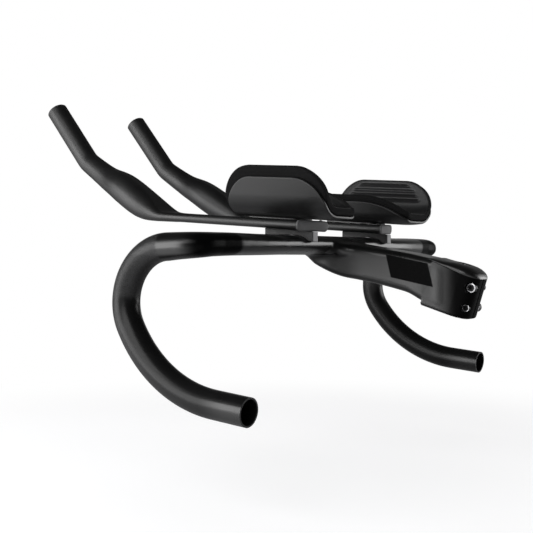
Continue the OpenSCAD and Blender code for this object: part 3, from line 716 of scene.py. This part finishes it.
SWEEP_END = SWEEP_CENTRE + SWEEP_R * heading_point(END_HEADING)
END_DIRECTION = np.array([cos(radians(END_HEADING)), -sin(radians(END_HEADING))])
DROP_END = SWEEP_END + DROP_END_L * END_DIRECTION
HOOK_Y = BAR_WIDTH / 2 + DROP_END[1] * sin(radians(DROP_FLARE))
CORNER_FRONT = 4
CORNER_REAR = HOOK_X - WING_REAR - 7
END_FRONT = HOOK_Y - WING_END_Y - DROP_R
END_REAR = HOOK_Y - WING_END_Y + DROP_R
CORNER_POWER = 4
CORNER_STEPS = 40
CORNER_HALF_H = 10.25
CORNER_MIDDLE_Z = WING_TOP + 0.3 - CORNER_HALF_H
# Wing stations: outward, rear edge, chord, middle height, half height
WING_STATIONS = [
    (84, WING_REAR, WING_CHORD, WING_MIDDLE_Z, WING_H / 2),
    (125, WING_REAR + 1, WING_CHORD - 3, WING_MIDDLE_Z - 0.3, WING_H / 2 + 0.3),
    (160, WING_REAR + 4, WING_CHORD - 9, WING_MIDDLE_Z - 0.3, WING_H / 2 + 0.7),
    (WING_END_Y, HOOK_X - CORNER_REAR, CORNER_REAR - CORNER_FRONT, CORNER_MIDDLE_Z, CORNER_HALF_H)]
RING_ANGLES = np.radians(360 * (np.arange(RING_N) + 0.5) / RING_N)


def wing_ring(axis_x, axis_y, turn, front, rear, middle_z, half_h, power):
    """A section of the wing, turned about an upright axis, from front to rear of that axis."""
    middle, half = (front + rear) / 2, (rear - front) / 2
    powers = np.where(np.sin(RING_ANGLES) < 0, power, min(power, WING_FRONT_POWER))
    up, across = squircle(half_h, half, powers, RING_ANGLES)
    reach = middle - across
    c, s = cos(radians(turn)), sin(radians(turn))
    return np.stack([axis_x - reach * c, axis_y + reach * s, middle_z + up], axis=1)


def corner_reach(turn):
    """How far the squarish corner lies from its axis."""
    c, s = cos(radians(turn)), sin(radians(turn))
    return ((c / CORNER_REAR) ** CORNER_POWER + (s / END_REAR) ** CORNER_POWER) ** (-1 / CORNER_POWER)


def from_hook(x, y, z):
    c, s = cos(radians(DROP_FLARE)), sin(radians(DROP_FLARE))
    return np.stack(np.broadcast_arrays(HOOK_X + x, HOOK_Y + y * c - z * s, HOOK_Z + y * s + z * c), axis=-1)


def tube_ring(centre, heading, r):
    up = r * np.cos(RING_ANGLES)
    h = radians(heading)
    return from_hook(centre[0] + up * sin(h), -r * np.sin(RING_ANGLES), centre[1] + up * cos(h))


def bar_mesh():
    """One skin from drop end to drop end."""
    half = []
    stations = curve(WING_STATIONS, 12)
    for y, rear_x, chord, middle_z, half_h in stations:
        half.append(wing_ring(HOOK_X, y, 0, HOOK_X - rear_x - chord, HOOK_X - rear_x, middle_z, half_h,
                              WING_REAR_POWER))
    for i in range(1, CORNER_STEPS + 1):
        t = i / CORNER_STEPS
        half.append(wing_ring(HOOK_X, WING_END_Y, 90 * t, mix(CORNER_FRONT, END_FRONT, t),
                              corner_reach(90 * t), mix(CORNER_MIDDLE_Z, HOOK_Z, t),
                              mix(CORNER_HALF_H, DROP_R, t), mix(WING_REAR_POWER, 2, t)))
    for h in np.arange(3, HOOK_TURN + 0.1, HOOK_STEP):
        half.append(tube_ring([HOOK_R * sin(radians(h)), HOOK_R * cos(radians(h)) - HOOK_R], h, DROP_R))
    for h in np.arange(HOOK_TURN + 1, END_HEADING + 0.1, SWEEP_STEP):
        half.append(tube_ring(SWEEP_CENTRE + SWEEP_R * heading_point(h), h, DROP_R))
    for along in np.arange(1.5, DROP_END_L + 4.6, 1.5):
        half.append(tube_ring(SWEEP_END + along * END_DIRECTION, END_HEADING, DROP_R))
    middle_half = WING_STATIONS[0][0] - 3
    middle = [half[0] * [1, 0, 1] + [0, y, 0] for y in np.arange(-middle_half, middle_half + 1, 3)]
    other = [ring * [1, -1, 1] for ring in reversed(half)]
    return skin("bar_mesh", other + middle + half)


IN_HOOK = moved(HOOK_X, HOOK_Y, HOOK_Z) @ turned("X", DROP_FLARE)
AT_DROP_END = IN_HOOK @ moved(SWEEP_END[0], 0, SWEEP_END[1]) @ turned("Y", 90 + END_HEADING)
# The place where the stem runs into the wing
ROOT_FROM, ROOT_TO, ROOT_HALF_W = 95, 180, 45


def near_both(ob, first, second, reach_mm):
    """1 on vertices that lie close to both meshes, fading to 0 further out."""
    trees = []
    for other in (first, second):
        bm = bmesh.new()
        bm.from_mesh(other.data)
        trees.append(BVHTree.FromBMesh(bm))
        bm.free()
    co = vertices(ob)
    out = np.zeros(len(co))
    at_root = (co[:, 0] > ROOT_FROM * MM) & (co[:, 0] < ROOT_TO * MM) & (abs(co[:, 1]) < ROOT_HALF_W * MM)
    for i in np.nonzero(at_root)[0]:
        far = max(tree.find_nearest(Vector(co[i]))[3] for tree in trees)
        out[i] = 1 - smooth_step(reach_mm * 0.4 * MM, reach_mm * MM, far)
    return out


# Port under the stem

PORT_X, PORT_Z, PORT_SLOPE = 32, -6.8, 28
PORT_L, PORT_W, PORT_T, PORT_PROUD = 18, 13, 2.4, 0.9
PORT_CORNER_R = 4
PORT_N = 64
AT_PORT = moved(PORT_X, 0, PORT_Z) @ turned("Y", -PORT_SLOPE) @ turned("X", 180)


def port_plate(name, gap, low, high):
    outline = even_round_rect(PORT_L / 2 + gap, PORT_W / 2 + gap, PORT_CORNER_R, PORT_N)
    rings = [np.column_stack([outline, np.full(PORT_N, z)]) for z in (low, high)]
    return place(skin(name, rings), AT_PORT)


# Anti-slip band round the outer hook, from one heading to the other, with its two soft edges
GRIT_FROM, GRIT_TO = 5, 88
GRIT_EDGE_FROM, GRIT_EDGE_TO = 0.6, 4
DROPS_OUT_FROM = 150


def paint_grit(body):
    """The anti-slip band round the outer hook of each drop."""
    co = vertices(body) / MM
    across = np.abs(co[:, 1])
    c, s = cos(radians(DROP_FLARE)), sin(radians(DROP_FLARE))
    z = -(across - HOOK_Y) * s + (co[:, 2] - HOOK_Z) * c
    heading = np.degrees(np.arctan2(co[:, 0] - HOOK_X, z + HOOK_R))
    band = smooth_step(GRIT_FROM - GRIT_EDGE_FROM, GRIT_FROM + GRIT_EDGE_FROM, heading)
    band *= 1 - smooth_step(GRIT_TO - GRIT_EDGE_TO, GRIT_TO + GRIT_EDGE_TO, heading)
    band *= across > DROPS_OUT_FROM
    layer = body.data.attributes.new("grit", "FLOAT", "POINT")
    layer.data.foreach_set("value", band.astype(np.float32))


BODY_VOXEL = 1.25
FILLET_REACH = 9


def build_barstem():
    bar = bar_mesh()
    stem = stem_loft("stem_mesh", STEM_STATIONS, STEM_CORNER)
    shoulder = stem_loft("shoulder_mesh", SHOULDER_STATIONS, SHOULDER_CORNER)
    body = joined("carbon_bar_and_stem", [copy_of(bar), copy_of(stem), shoulder, clamp_mesh()])
    voxel(body, BODY_VOXEL)
    relax(body, 4)
    fillet(body, near_both(body, bar, stem, FILLET_REACH), 30)
    remove(bar)
    remove(stem)
    cutters = [seat_block(COVER_GAP),
               cylinder("steerer_cut", STEERER_D / 2, -THROUGH, THROUGH, IN_STEERER, 160),
               block("slit_cut", (-THROUGH, -SLIT_W / 2, -THROUGH_SIDE), (0, SLIT_W / 2, THROUGH_SIDE),
                     IN_STEERER)]
    for upper in (True, False):
        for name, r, low, high in (
                ("pinch_cut", PINCH_D / 2 + 0.2, -22, 22),
                ("pinch_pocket", PINCH_HEAD_D / 2 + PINCH_POCKET_GAP, PINCH_SEAT, THROUGH_SIDE),
                ("nut_pocket", PINCH_NUT_D / 2 + SEAT_GAP, -THROUGH_SIDE, -PINCH_SEAT + 2)):
            cutters.append(cylinder(name, r, low, high, at_pinch(upper)))
    for side in (Matrix.Identity(4), MIRROR):
        for r, low in ((DROP_R - DROP_WALL, DROP_END_L - DROP_BORE_L), (END_CUT_R, DROP_END_L)):
            cutters.append(outward(cylinder("drop_cut", r, low, THROUGH, side @ AT_DROP_END)))
    cutters.append(port_plate("port_cut", SEAT_GAP, PORT_PROUD - PORT_T, 8))
    cut(body, cutters)
    paint_grit(body)
    return shade(body, 38)


finish_piece(build_barstem(), "barstem", [carbon])


# Steerer cover

# Crown stations: distance from the steerer axis, and height as a share of the cover's
CROWN = [(-CLAMP_REAR + 0.1, 0.08), (-CLAMP_REAR + 1.2, 0.42), (-CLAMP_REAR + 5.5, 0.9),
         (-8, 1.16), (4, 0.96), (14, 0.58), (COVER_FRONT, 0.22)]
PLUG_TOP = 22
COVER_BOLT_T = SEAT_MID + COVER_H - 2.25
COVER_HOLE_R = 3.2
COVER_SEAT_R = 5.7
CROWN_POWER = 2.8
CROWN_N = 72


def build_cover():
    rings = []
    angle = np.pi * np.arange(CROWN_N + 1) / CROWN_N
    for s, crown in curve(CROWN, 12):
        foot = SEAT_MID + s * tan(radians(SEAT_SLOPE)) + SEAT_GAP
        across, up = squircle(clamp_half(s), crown * COVER_H, CROWN_POWER, angle)
        rings.append(np.column_stack([np.full(CROWN_N + 1, s), across, foot + up]))
    cover = place(skin("steerer_cover_top", rings), IN_STEERER)
    cut(cover, [cylinder("cover_hollow", STEERER_D / 2 + 0.3, 0, PLUG_TOP, IN_STEERER),
                cylinder("cover_hole", COVER_HOLE_R, 0, THROUGH, IN_STEERER, 64),
                cylinder("cover_seat", COVER_SEAT_R, COVER_BOLT_T - SEAT_GAP, THROUGH, IN_STEERER, 64)])
    return shade(cover, 30)


finish_piece(build_cover(), "steerer_cover", [cover_satin])


# Plain small parts keep the CAD's shape and get finer edges

def cad_copy(node, name):
    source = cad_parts[node]
    return place(linked(name, source.data.copy()), source.matrix_world)


def dressed_copy(node, material, bevel_mm=0.15, segments=2):
    ob = cad_copy(node, node + "_piece")
    bm = bmesh.new()
    bm.from_mesh(ob.data)
    bmesh.ops.remove_doubles(bm, verts=bm.verts, dist=0.02 * MM)
    bmesh.ops.dissolve_limit(bm, angle_limit=radians(1), verts=bm.verts, edges=bm.edges)
    bm.to_mesh(ob.data)
    bm.free()
    m = ob.modifiers.new("bevel", "BEVEL")
    m.width = bevel_mm * MM
    m.segments = segments
    m.limit_method = "ANGLE"
    m.angle_limit = radians(35)
    apply_modifiers(ob)
    shade(ob, 30)
    return finish_piece(ob, node, [material])


dressed_copy("steerer_cover_bolt", dark_steel)
dressed_copy("port_cover", cover_satin)
dressed_copy("port_cover_screws", bolt_steel, 0.05, 1)
for end in ("upper", "lower"):
    axis_at = at_pinch(end == "upper").translation
    for kind, ring_r in (("bolt", 3.2), ("nut", 2.6)):
        ring_steel = ring_steel_material("ring_" + kind + "_" + end, axis_at, ring_r)
        dressed_copy("pinch_" + kind + "_" + end, ring_steel)
for hand in ("left", "right"):
    dressed_copy("riser_bolts_" + hand, dark_steel)
    dressed_copy("cup_bolts_" + hand, dark_steel)
    dressed_copy("end_cap_screw_" + hand, bolt_steel, 0.05, 1)
    dressed_copy("cup_plate_" + hand, cover_satin, 0.3)
    dressed_copy("pad_strips_" + hand, strip_cloth, 0.1, 1)


# Bridge frame: along the blade, outward, up

RISER_FRONT = 160
RISER_VOXEL = 0.42
BRIDGE_X = 130
BRIDGE_Z = (WING_TOP + RISER_H + BLADE_T / 2 / cos(radians(BLADE_RISE))
            - (RISER_FRONT - BRIDGE_X) * tan(radians(BLADE_RISE)))
AT_BRIDGE = moved(BRIDGE_X, BLADE_GAP / 2, BRIDGE_Z) @ turned("Y", -BLADE_RISE)
BLADE_AXIS = np.array([cos(radians(BLADE_RISE)), sin(radians(BLADE_RISE))])


def build_riser():
    """The CAD's riser with its edges smoothed."""
    ob = cad_copy("riser_left", "riser_block_left")
    voxel(ob, RISER_VOXEL)
    relax(ob, 3)
    return shade(ob, 50)


def both_sides(ob, node, materials):
    """Finishes a left piece and its mirror image on the right."""
    twin = mirror_copy(ob, ob.name.replace("left", "right"))
    finish_piece(ob, node + "_left", materials)
    finish_piece(twin, node + "_right", materials)


both_sides(build_riser(), "riser", [riser_grit_painted_highlight])


# Extension

BLADE_FRONT_U = 155
CAP_SLANT = 13
CAP_REAR_U = -20.7
CAP_FLANGE = 2.2
CAP_LIP = 0.6
CAP_PLUG_U = -12
PLUG_WALL = 1.7
BLADE_ROUND = 0.9
GRIP_R = GRIP_D / 2
GRIP_SHIFT = -6.3
PATH_SMOOTHING = 14
SIZE_SMOOTHING = 70
PATH_STEP = 1.2
# Wrist stations: forward and up from the blade's end, inward shift, half width, half height
WRIST = [
    (0, 0, 0, BLADE_W / 2, BLADE_T / 2),
    (13.6, 5, 0, BLADE_W / 2 - 0.1, BLADE_T / 2 + 5.2),
    (36, 15.1, -2.2, BLADE_W / 2 - 0.6, GRIP_R + 3.7),
    (66.5, 33, -3.9, BLADE_W / 2 - 0.8, GRIP_R + 3.6),
    (88, 43, -5, mix(BLADE_W / 2, GRIP_R, 0.8), GRIP_R + 1.6),
    (120.4, 62.6, GRIP_SHIFT, GRIP_R, GRIP_R)]
BLADE_END = np.array([BRIDGE_X, BRIDGE_Z]) + BLADE_FRONT_U * BLADE_AXIS
GRIP_AXIS = np.array([cos(radians(GRIP_RISE)), sin(radians(GRIP_RISE))])
KNEE = BLADE_END + np.array(WRIST[-1][:2])


def extension_centreline():
    """Rows of forward, up, inward shift, half width and half height, evenly spaced."""
    rows = []
    for u in np.arange(CAP_REAR_U - 8, BLADE_FRONT_U - 9, 3):
        p = (u - BLADE_FRONT_U) * BLADE_AXIS
        rows.append((p[0], p[1], 0, BLADE_W / 2, BLADE_T / 2))
    rows += [tuple(r) for r in curve(WRIST, 12)]
    for along in np.arange(2, GRIP_L + 0.1, 2):
        p = KNEE - BLADE_END + along * GRIP_AXIS
        rows.append((p[0], p[1], GRIP_SHIFT, GRIP_R, GRIP_R))
    rows = np.array(rows)
    at = np.concatenate([[0], np.cumsum(np.linalg.norm(np.diff(rows[:, :2], axis=0), axis=1))])
    even = np.arange(0, at[-1], PATH_STEP)
    rows = np.stack([np.interp(even, at, rows[:, k]) for k in range(5)], axis=1)
    for columns, rounds in ((slice(0, 2), PATH_SMOOTHING), (slice(2, 5), SIZE_SMOOTHING)):
        for i in range(rounds):
            part = rows[:, columns]
            rows[1:-1, columns] = part[1:-1] + 0.5 * ((part[:-2] + part[2:]) / 2 - part[1:-1])
    return rows


def build_extension():
    rows = extension_centreline()
    slope = np.gradient(rows[:, :2], axis=0)
    heading = np.arctan2(slope[:, 1], slope[:, 0])
    rings = []
    for (x, z, shift, half_w, half_h), h in zip(rows, heading):
        r = min(half_h * 0.98, half_w)
        outline = even_round_rect(half_w, half_h, r, RING_N)
        rings.append(np.column_stack([BLADE_END[0] + x - sin(h) * outline[:, 1],
                                      BLADE_GAP / 2 + shift + outline[:, 0],
                                      BLADE_END[1] + z + cos(h) * outline[:, 1]]))
    blade = skin("extension_blade_left", rings)
    at_grip = moved(KNEE[0], BLADE_GAP / 2 + GRIP_SHIFT, KNEE[1]) @ turned("Y", 90 - GRIP_RISE)
    cut(blade, [behind_slant(CAP_FLANGE), blade_core(PLUG_WALL, CAP_PLUG_U + 0.5),
                cylinder("grip_bore", GRIP_R - GRIP_WALL, GRIP_L - GRIP_BORE_L, GRIP_L + 30, at_grip)])
    return shade(blade, 38)


def behind_slant(ahead):
    """Everything behind the slanted plane at the blade's rear end."""
    matrix = AT_BRIDGE @ moved(CAP_REAR_U + ahead, 0, 0) @ turned("Z", -CAP_SLANT)
    return block("slant_cut", (-THROUGH, -THROUGH, -20), (0, THROUGH, 20), matrix)


def blade_core(inset, front_u):
    """A prism inside the blade's rear end, at a distance below its skin."""
    half_h = BLADE_T / 2 - inset
    outline = even_round_rect(BLADE_W / 2 - inset, half_h, half_h * BLADE_ROUND, RING_N)
    rings = [np.column_stack([np.full(RING_N, u), outline]) for u in (CAP_REAR_U - 10, front_u)]
    return place(skin("blade_core", rings), AT_BRIDGE)


both_sides(build_extension(), "extension", [extension_carbon])


# End cap: a flange with a plug in the blade

def build_end_cap():
    half_w = (BLADE_W / 2 + CAP_LIP) / cos(radians(CAP_SLANT))
    half_h = BLADE_T / 2 + CAP_LIP
    flange_l = CAP_FLANGE * cos(radians(CAP_SLANT)) - SEAT_GAP
    # The flange's rounded rear edge and slightly broken front edge, as (depth, inset)
    edge = ((0, 1.5), (0.12, 0.95), (0.4, 0.4), (0.8, 0.1), (1.2, 0), (flange_l - 0.3, 0), (flange_l, 0.25))
    rings = []
    for depth, inset in edge:
        outline = even_round_rect(half_w - inset, half_h - inset, (half_h - inset) * BLADE_ROUND, RING_N)
        rings.append(np.column_stack([np.full(RING_N, depth), outline]))
    flange = place(skin("end_cap_flange_left", rings),
                   AT_BRIDGE @ moved(CAP_REAR_U, 0, 0) @ turned("Z", -CAP_SLANT))
    plug = blade_core(PLUG_WALL + SEAT_GAP, CAP_PLUG_U)
    cut(plug, [behind_slant(CAP_FLANGE / 2)])
    cut(flange, [plug], "UNION")
    return shade(flange, 30)


both_sides(build_end_cap(), "end_cap", [cap_grey])


# Cup and pad share one trough: s runs across, u along, depth inward from the cup's skin

FLOOR_HALF = CUP_FLOOR_W / 2
WING_BEND_R, RIM_BEND_R = 26, 16
WING_LEAN, RIM_LEAN = 14, 20
TROUGH_V = 1
CUP_REAR_U, CUP_FRONT_U = 53 - CUP_L, 53
CUP_BASE_W = BLADE_T / 2 + PLATE_T
CURL_START, CURL_H = 32, 2
WING_S = FLOOR_HALF + WING_BEND_R * radians(90 - WING_LEAN) + CUP_WING
RIM_S = FLOOR_HALF + RIM_BEND_R * radians(90 - RIM_LEAN) + CUP_RIM
# Rear inner, rear outer, front inner and front outer corner, each as (across, along)
CORNERS = [(26, 50), (30, 31), (20, 20), (30, 27)]
OUTLINE_POWER = 1.85
AT_CUP = AT_BRIDGE @ moved(0, 0, CUP_BASE_W)


def half_section(s, depth, bend_r, lean):
    """Flat floor, bend and leaning wall, as (across, up)."""
    bend_l = bend_r * radians(90 - lean)
    angle = np.clip((s - FLOOR_HALF) / bend_r, 0, radians(90 - lean))
    flat = np.minimum(s, FLOOR_HALF)
    wall = np.maximum(0, s - FLOOR_HALF - bend_l)
    return (flat + (bend_r - depth) * np.sin(angle) + wall * sin(radians(lean)),
            bend_r - (bend_r - depth) * np.cos(angle) + wall * cos(radians(lean)))


def trough_points(s, u, depth):
    wing = half_section(np.maximum(s, 0), depth, WING_BEND_R, WING_LEAN)
    rim = half_section(np.maximum(-s, 0), depth, RIM_BEND_R, RIM_LEAN)
    across = np.where(s >= 0, wing[0], -rim[0])
    up = np.where(s >= 0, wing[1], rim[1])
    curl = CURL_H * (np.maximum(0, -u - CURL_START) / (CUP_L / 2 - CURL_START)) ** 2
    return np.stack(np.broadcast_arrays(u, TROUGH_V + across, up + curl), axis=-1)


def corner_pull(s, s_end, corner):
    """How far a rounded corner draws the end of the sheet in."""
    t = np.clip((s - s_end + corner[0]) / corner[0], 0, 1)
    return corner[1] * (1 - (1 - t ** OUTLINE_POWER) ** (1 / OUTLINE_POWER))


def bunched(count):
    """Steps from 0 to 1 that lie closer together at both ends."""
    t = np.linspace(-1, 1, count + 1)
    return (0.55 * t + 0.45 * np.sin(t * pi / 2) + 1) / 2


def sheet(name, limits, layers, rows, columns, inner_depth=None):
    """A sheet on the trough; layers are (depth, inset) from the outer to the inner face.
    Material slot 0 is the inner face and the last two bands, slot 1 is the rest."""
    def grid(depth, inset, extra=None):
        low, high = limits[0] + inset, limits[1] - inset
        s = low + (high - low) * bunched(rows)
        pull_rear = np.where(s < 0, corner_pull(-s, -low, CORNERS[0]), corner_pull(s, high, CORNERS[1]))
        pull_front = np.where(s < 0, corner_pull(-s, -low, CORNERS[2]), corner_pull(s, high, CORNERS[3]))
        rear, front = limits[2] + inset + pull_rear, limits[3] - inset - pull_front
        u = rear[:, None] + (front - rear)[:, None] * bunched(columns)[None, :]
        ss = np.repeat(s[:, None], columns + 1, axis=1)
        d = depth if extra is None else depth - extra(ss, u, rear[:, None], front[:, None])
        return trough_points(ss, u, d)

    edge = ([(0, k) for k in range(columns)] + [(k, columns) for k in range(rows)]
            + [(rows, columns - k) for k in range(columns)] + [(rows - k, 0) for k in range(rows)])
    grid_n = (rows + 1) * (columns + 1)
    around = len(edge)
    inner = len(layers) - 2
    blocks = [grid(*layers[0]).reshape(-1, 3), grid(*layers[-1], extra=inner_depth).reshape(-1, 3)]
    for layer in layers[1:-1]:
        g = grid(*layer)
        blocks.append(np.array([g[i, j] for i, j in edge]))
    faces, slots = [], []
    for level in (0, 1):
        base = level * grid_n
        for i in range(rows):
            for j in range(columns):
                a = base + i * (columns + 1) + j
                face = (a, a + 1, a + columns + 2, a + columns + 1)
                faces.append(face if level == 0 else face[::-1])
                slots.append(0 if level else 1)

    def edge_index(m, k):
        i, j = edge[k % around]
        if m == 0:
            return i * (columns + 1) + j
        if m == inner + 1:
            return grid_n + i * (columns + 1) + j
        return 2 * grid_n + (m - 1) * around + k % around

    for m in range(inner + 1):
        for k in range(around):
            faces.append((edge_index(m, k), edge_index(m + 1, k),
                          edge_index(m + 1, k + 1), edge_index(m, k + 1)))
            slots.append(1 if m < inner - 2 else 0)
    ob = new_object(name, np.vstack(blocks), faces)
    ob.data.polygons.foreach_set("material_index", slots)
    return place(outward(ob), AT_CUP)


def rounded_layers(thickness, r, steps=4):
    """Layers whose edge is rounded at both faces."""
    angles = [pi / 2 * i / steps for i in range(steps + 1)]
    return ([(r * (1 - cos(a)), r * (1 - sin(a))) for a in angles]
            + [(thickness - r * (1 - sin(a)), r * (1 - cos(a))) for a in angles])


CUP_EDGE_R = 0.8


def build_cup():
    cup = sheet("arm_cup_shell_left", (-RIM_S, WING_S, CUP_REAR_U, CUP_FRONT_U),
                rounded_layers(CUP_T, CUP_EDGE_R), rows=72, columns=60)
    return shade(cup, 60)


both_sides(build_cup(), "arm_cup", [cup_satin, cup_satin])

# Grooves along the pad's outer wall, each at its place across the trough
RIB_S = (49.5, 54.3, 59.3, 65)
RIB_HALF = 2.0
RIB_DEPTH = 1.9
RIB_END_FROM, RIB_END_TO = 6, 12
PAD_OVER = 4.5


def pad_relief(s, u, rear, front):
    """Depth of the lengthwise grooves in the pad's inner face."""
    inside = (smooth_step(RIB_END_FROM, RIB_END_TO, u - rear)
              * smooth_step(RIB_END_FROM, RIB_END_TO, front - u))
    groove = sum(np.exp(-((s - middle) / RIB_HALF) ** 2 * 2) for middle in RIB_S)
    return RIB_DEPTH * groove * inside


def build_pad():
    low = CUP_T + STRIP_T
    high = low + PAD_T
    # The rolled edge of the foam, as (depth, inset)
    layers = [(low, 0.8), (low + 0.4, 0.3), (low + 1.2, 0), (low + PAD_T * 0.5, 0), (high - 1.6, 0),
              (high - 1.0, 0.25), (high - 0.45, 0.7), (high - 0.1, 1.4), (high, 2.2)]
    limits = (-RIM_S - PAD_PROUD * 0.5, WING_S + PAD_PROUD, CUP_REAR_U, CUP_FRONT_U + PAD_OVER)
    pad = sheet("arm_pad_foam_left", limits, layers, rows=110, columns=72, inner_depth=pad_relief)
    return shade(pad, 60)


both_sides(build_pad(), "arm_pad", [pad_skin, pad_side])


# Stage: a white floor and backdrop, soft lamps and the camera

# The camera as fitted to the photo: angles in radians, place in metres
YAW, PITCH, ROLL = 0.9503975, 0.0104753, 0.00132
EYE = Vector((-0.37096, 0.81539, 0.03148))
FOCAL_PX, PHOTO_PX = 970.37, 533
SENSOR_MM = 36
VIEW = Vector((cos(YAW) * cos(PITCH), -sin(YAW) * cos(PITCH), -sin(PITCH)))
CENTRE = (0.2, 0.0, 0.03)
FLOOR_Z = -0.185
FLOOR_SIZE = 6000
FLOOR_TONES = (0.44, 0.46)
# Added to the lit floor where the camera sees it, so that only the shadow is below white
FLOOR_GLOW = 0.62
FLOOR_MIRROR = 1.0
# The floor turns plain white over this span from the object
FLOOR_FADE_MM = (350, 750)
# Reflections show a white floor only on the side that this points to, over this span in metres
FRONT_LEFT = (0.1, 0.995, 0)
FRONT_LEFT_SPAN = (0.15, 0.45)


def mirror_rays(g, path):
    """1 for rays that left a glossy or a clear surface."""
    return g.math("MAXIMUM", path["Is Glossy Ray"], path["Is Transmission Ray"])


def floor_material():
    """White to the camera and in reflections, and darker where the object's shadow falls."""
    m, g, shader = new_material("floor_white")
    coords = g.object_coords()
    path = g.node("LightPath").outputs
    bright = g.map_range(g.vector_math("DOT_PRODUCT", coords, FRONT_LEFT), FRONT_LEFT_SPAN, 0, FLOOR_MIRROR)
    mirrored = g.product(mirror_rays(g, path), bright)
    g.fill(shader, {
        "Base Color": g.ramp(g.noise(coords, 3), grey(FLOOR_TONES[0]), grey(FLOOR_TONES[1])),
        "Roughness": 0.9,
        "Specular IOR Level": 0.0,
        "Emission Color": (1, 1, 1, 1),
        "Emission Strength": g.mix(path["Is Camera Ray"], mirrored, FLOOR_GLOW)})
    far = g.rise(g.vector_math("DISTANCE", coords, (CENTRE[0], CENTRE[1], FLOOR_Z)), FLOOR_FADE_MM)
    white = g.node("Emission", (1, 1, 1, 1), 1.0).outputs["Emission"]
    blend = g.node("MixShader", g.product(far, path["Is Camera Ray"]), shader.outputs["BSDF"], white)
    g.feed(m.node_tree.nodes["Material Output"].inputs["Surface"], blend.outputs["Shader"])
    return m


floor = block("floor", (-FLOOR_SIZE, -FLOOR_SIZE, FLOOR_Z / MM - 4), (FLOOR_SIZE, FLOOR_SIZE, FLOOR_Z / MM))
floor.data.materials.append(floor_material())

# Light from all round, and what reflections show instead: brighter ahead of the camera, dark above
AMBIENT = 0.22
AHEAD_SPAN, AHEAD_LEVELS = (0.3, 0.95), (0.03, 0.6)
HEIGHT_SPAN, HEIGHT_LEVELS = (0.05, 0.5), (1.0, 0.1)


def studio_world():
    """White behind the object, with a dark studio round the camera in the reflections."""
    world = bpy.data.worlds.new("studio_world")
    bpy.context.scene.world = world
    world.use_nodes = True
    g = Graph(world.node_tree)
    coords = g.node("TexCoord").outputs["Generated"]
    ahead = g.vector_math("DOT_PRODUCT", coords, (cos(YAW), -sin(YAW), 0))
    studio = g.product(g.map_range(ahead, AHEAD_SPAN, *AHEAD_LEVELS),
                       g.map_range(g.split(coords)["Z"], HEIGHT_SPAN, *HEIGHT_LEVELS))
    path = g.node("LightPath").outputs
    strength = g.mix(mirror_rays(g, path), AMBIENT, studio)
    g.fill(world.node_tree.nodes["Background"], {
        "Color": (1, 1, 1, 1),
        "Strength": g.mix(path["Is Camera Ray"], strength, 1.0)})


studio_world()

# Place, size in metres and power in watts of each lamp
LAMPS = {
    "front_strip": ((1.45, 0.72, 0.0), (0.5, 1.1), 3.5),
    "side_high": ((0.17, 1.42, 0.72), (1.2, 0.8), 12.5),
    "left": ((1.04, 1.137, 0.22), (0.82, 0.8), 11.5),
    "rear_right": ((-0.77, -1.27, 0.12), (0.93, 1.0), 12.5),
    "top": ((0.2, 0.0, 1.6), (2.0, 2.0), 7)}
for name, (place_at, size, power) in LAMPS.items():
    lamp_data = bpy.data.lights.new(name, "AREA")
    lamp_data.shape = "RECTANGLE"
    lamp_data.size, lamp_data.size_y = size
    lamp_data.energy = power
    lamp = linked(name, lamp_data)
    lamp.location = place_at
    lamp.rotation_euler = (Vector(CENTRE) - Vector(place_at)).to_track_quat("-Z", "Y").to_euler()
    # The top lamp lights the floor and stays out of the reflections
    lamp.visible_glossy = name != "top"

camera_data = bpy.data.cameras.new("camera")
camera_data.sensor_width = SENSOR_MM
camera_data.lens = SENSOR_MM * FOCAL_PX / PHOTO_PX
camera_data.clip_start = 0.01
camera_data.clip_end = 100
camera = linked("camera", camera_data)
camera.location = EYE
camera.rotation_euler = (VIEW.to_track_quat("-Z", "Y") @ Quaternion((0, 0, 1), ROLL)).to_euler()
bpy.context.scene.camera = camera

bpy.context.scene.view_settings.view_transform = "Standard"
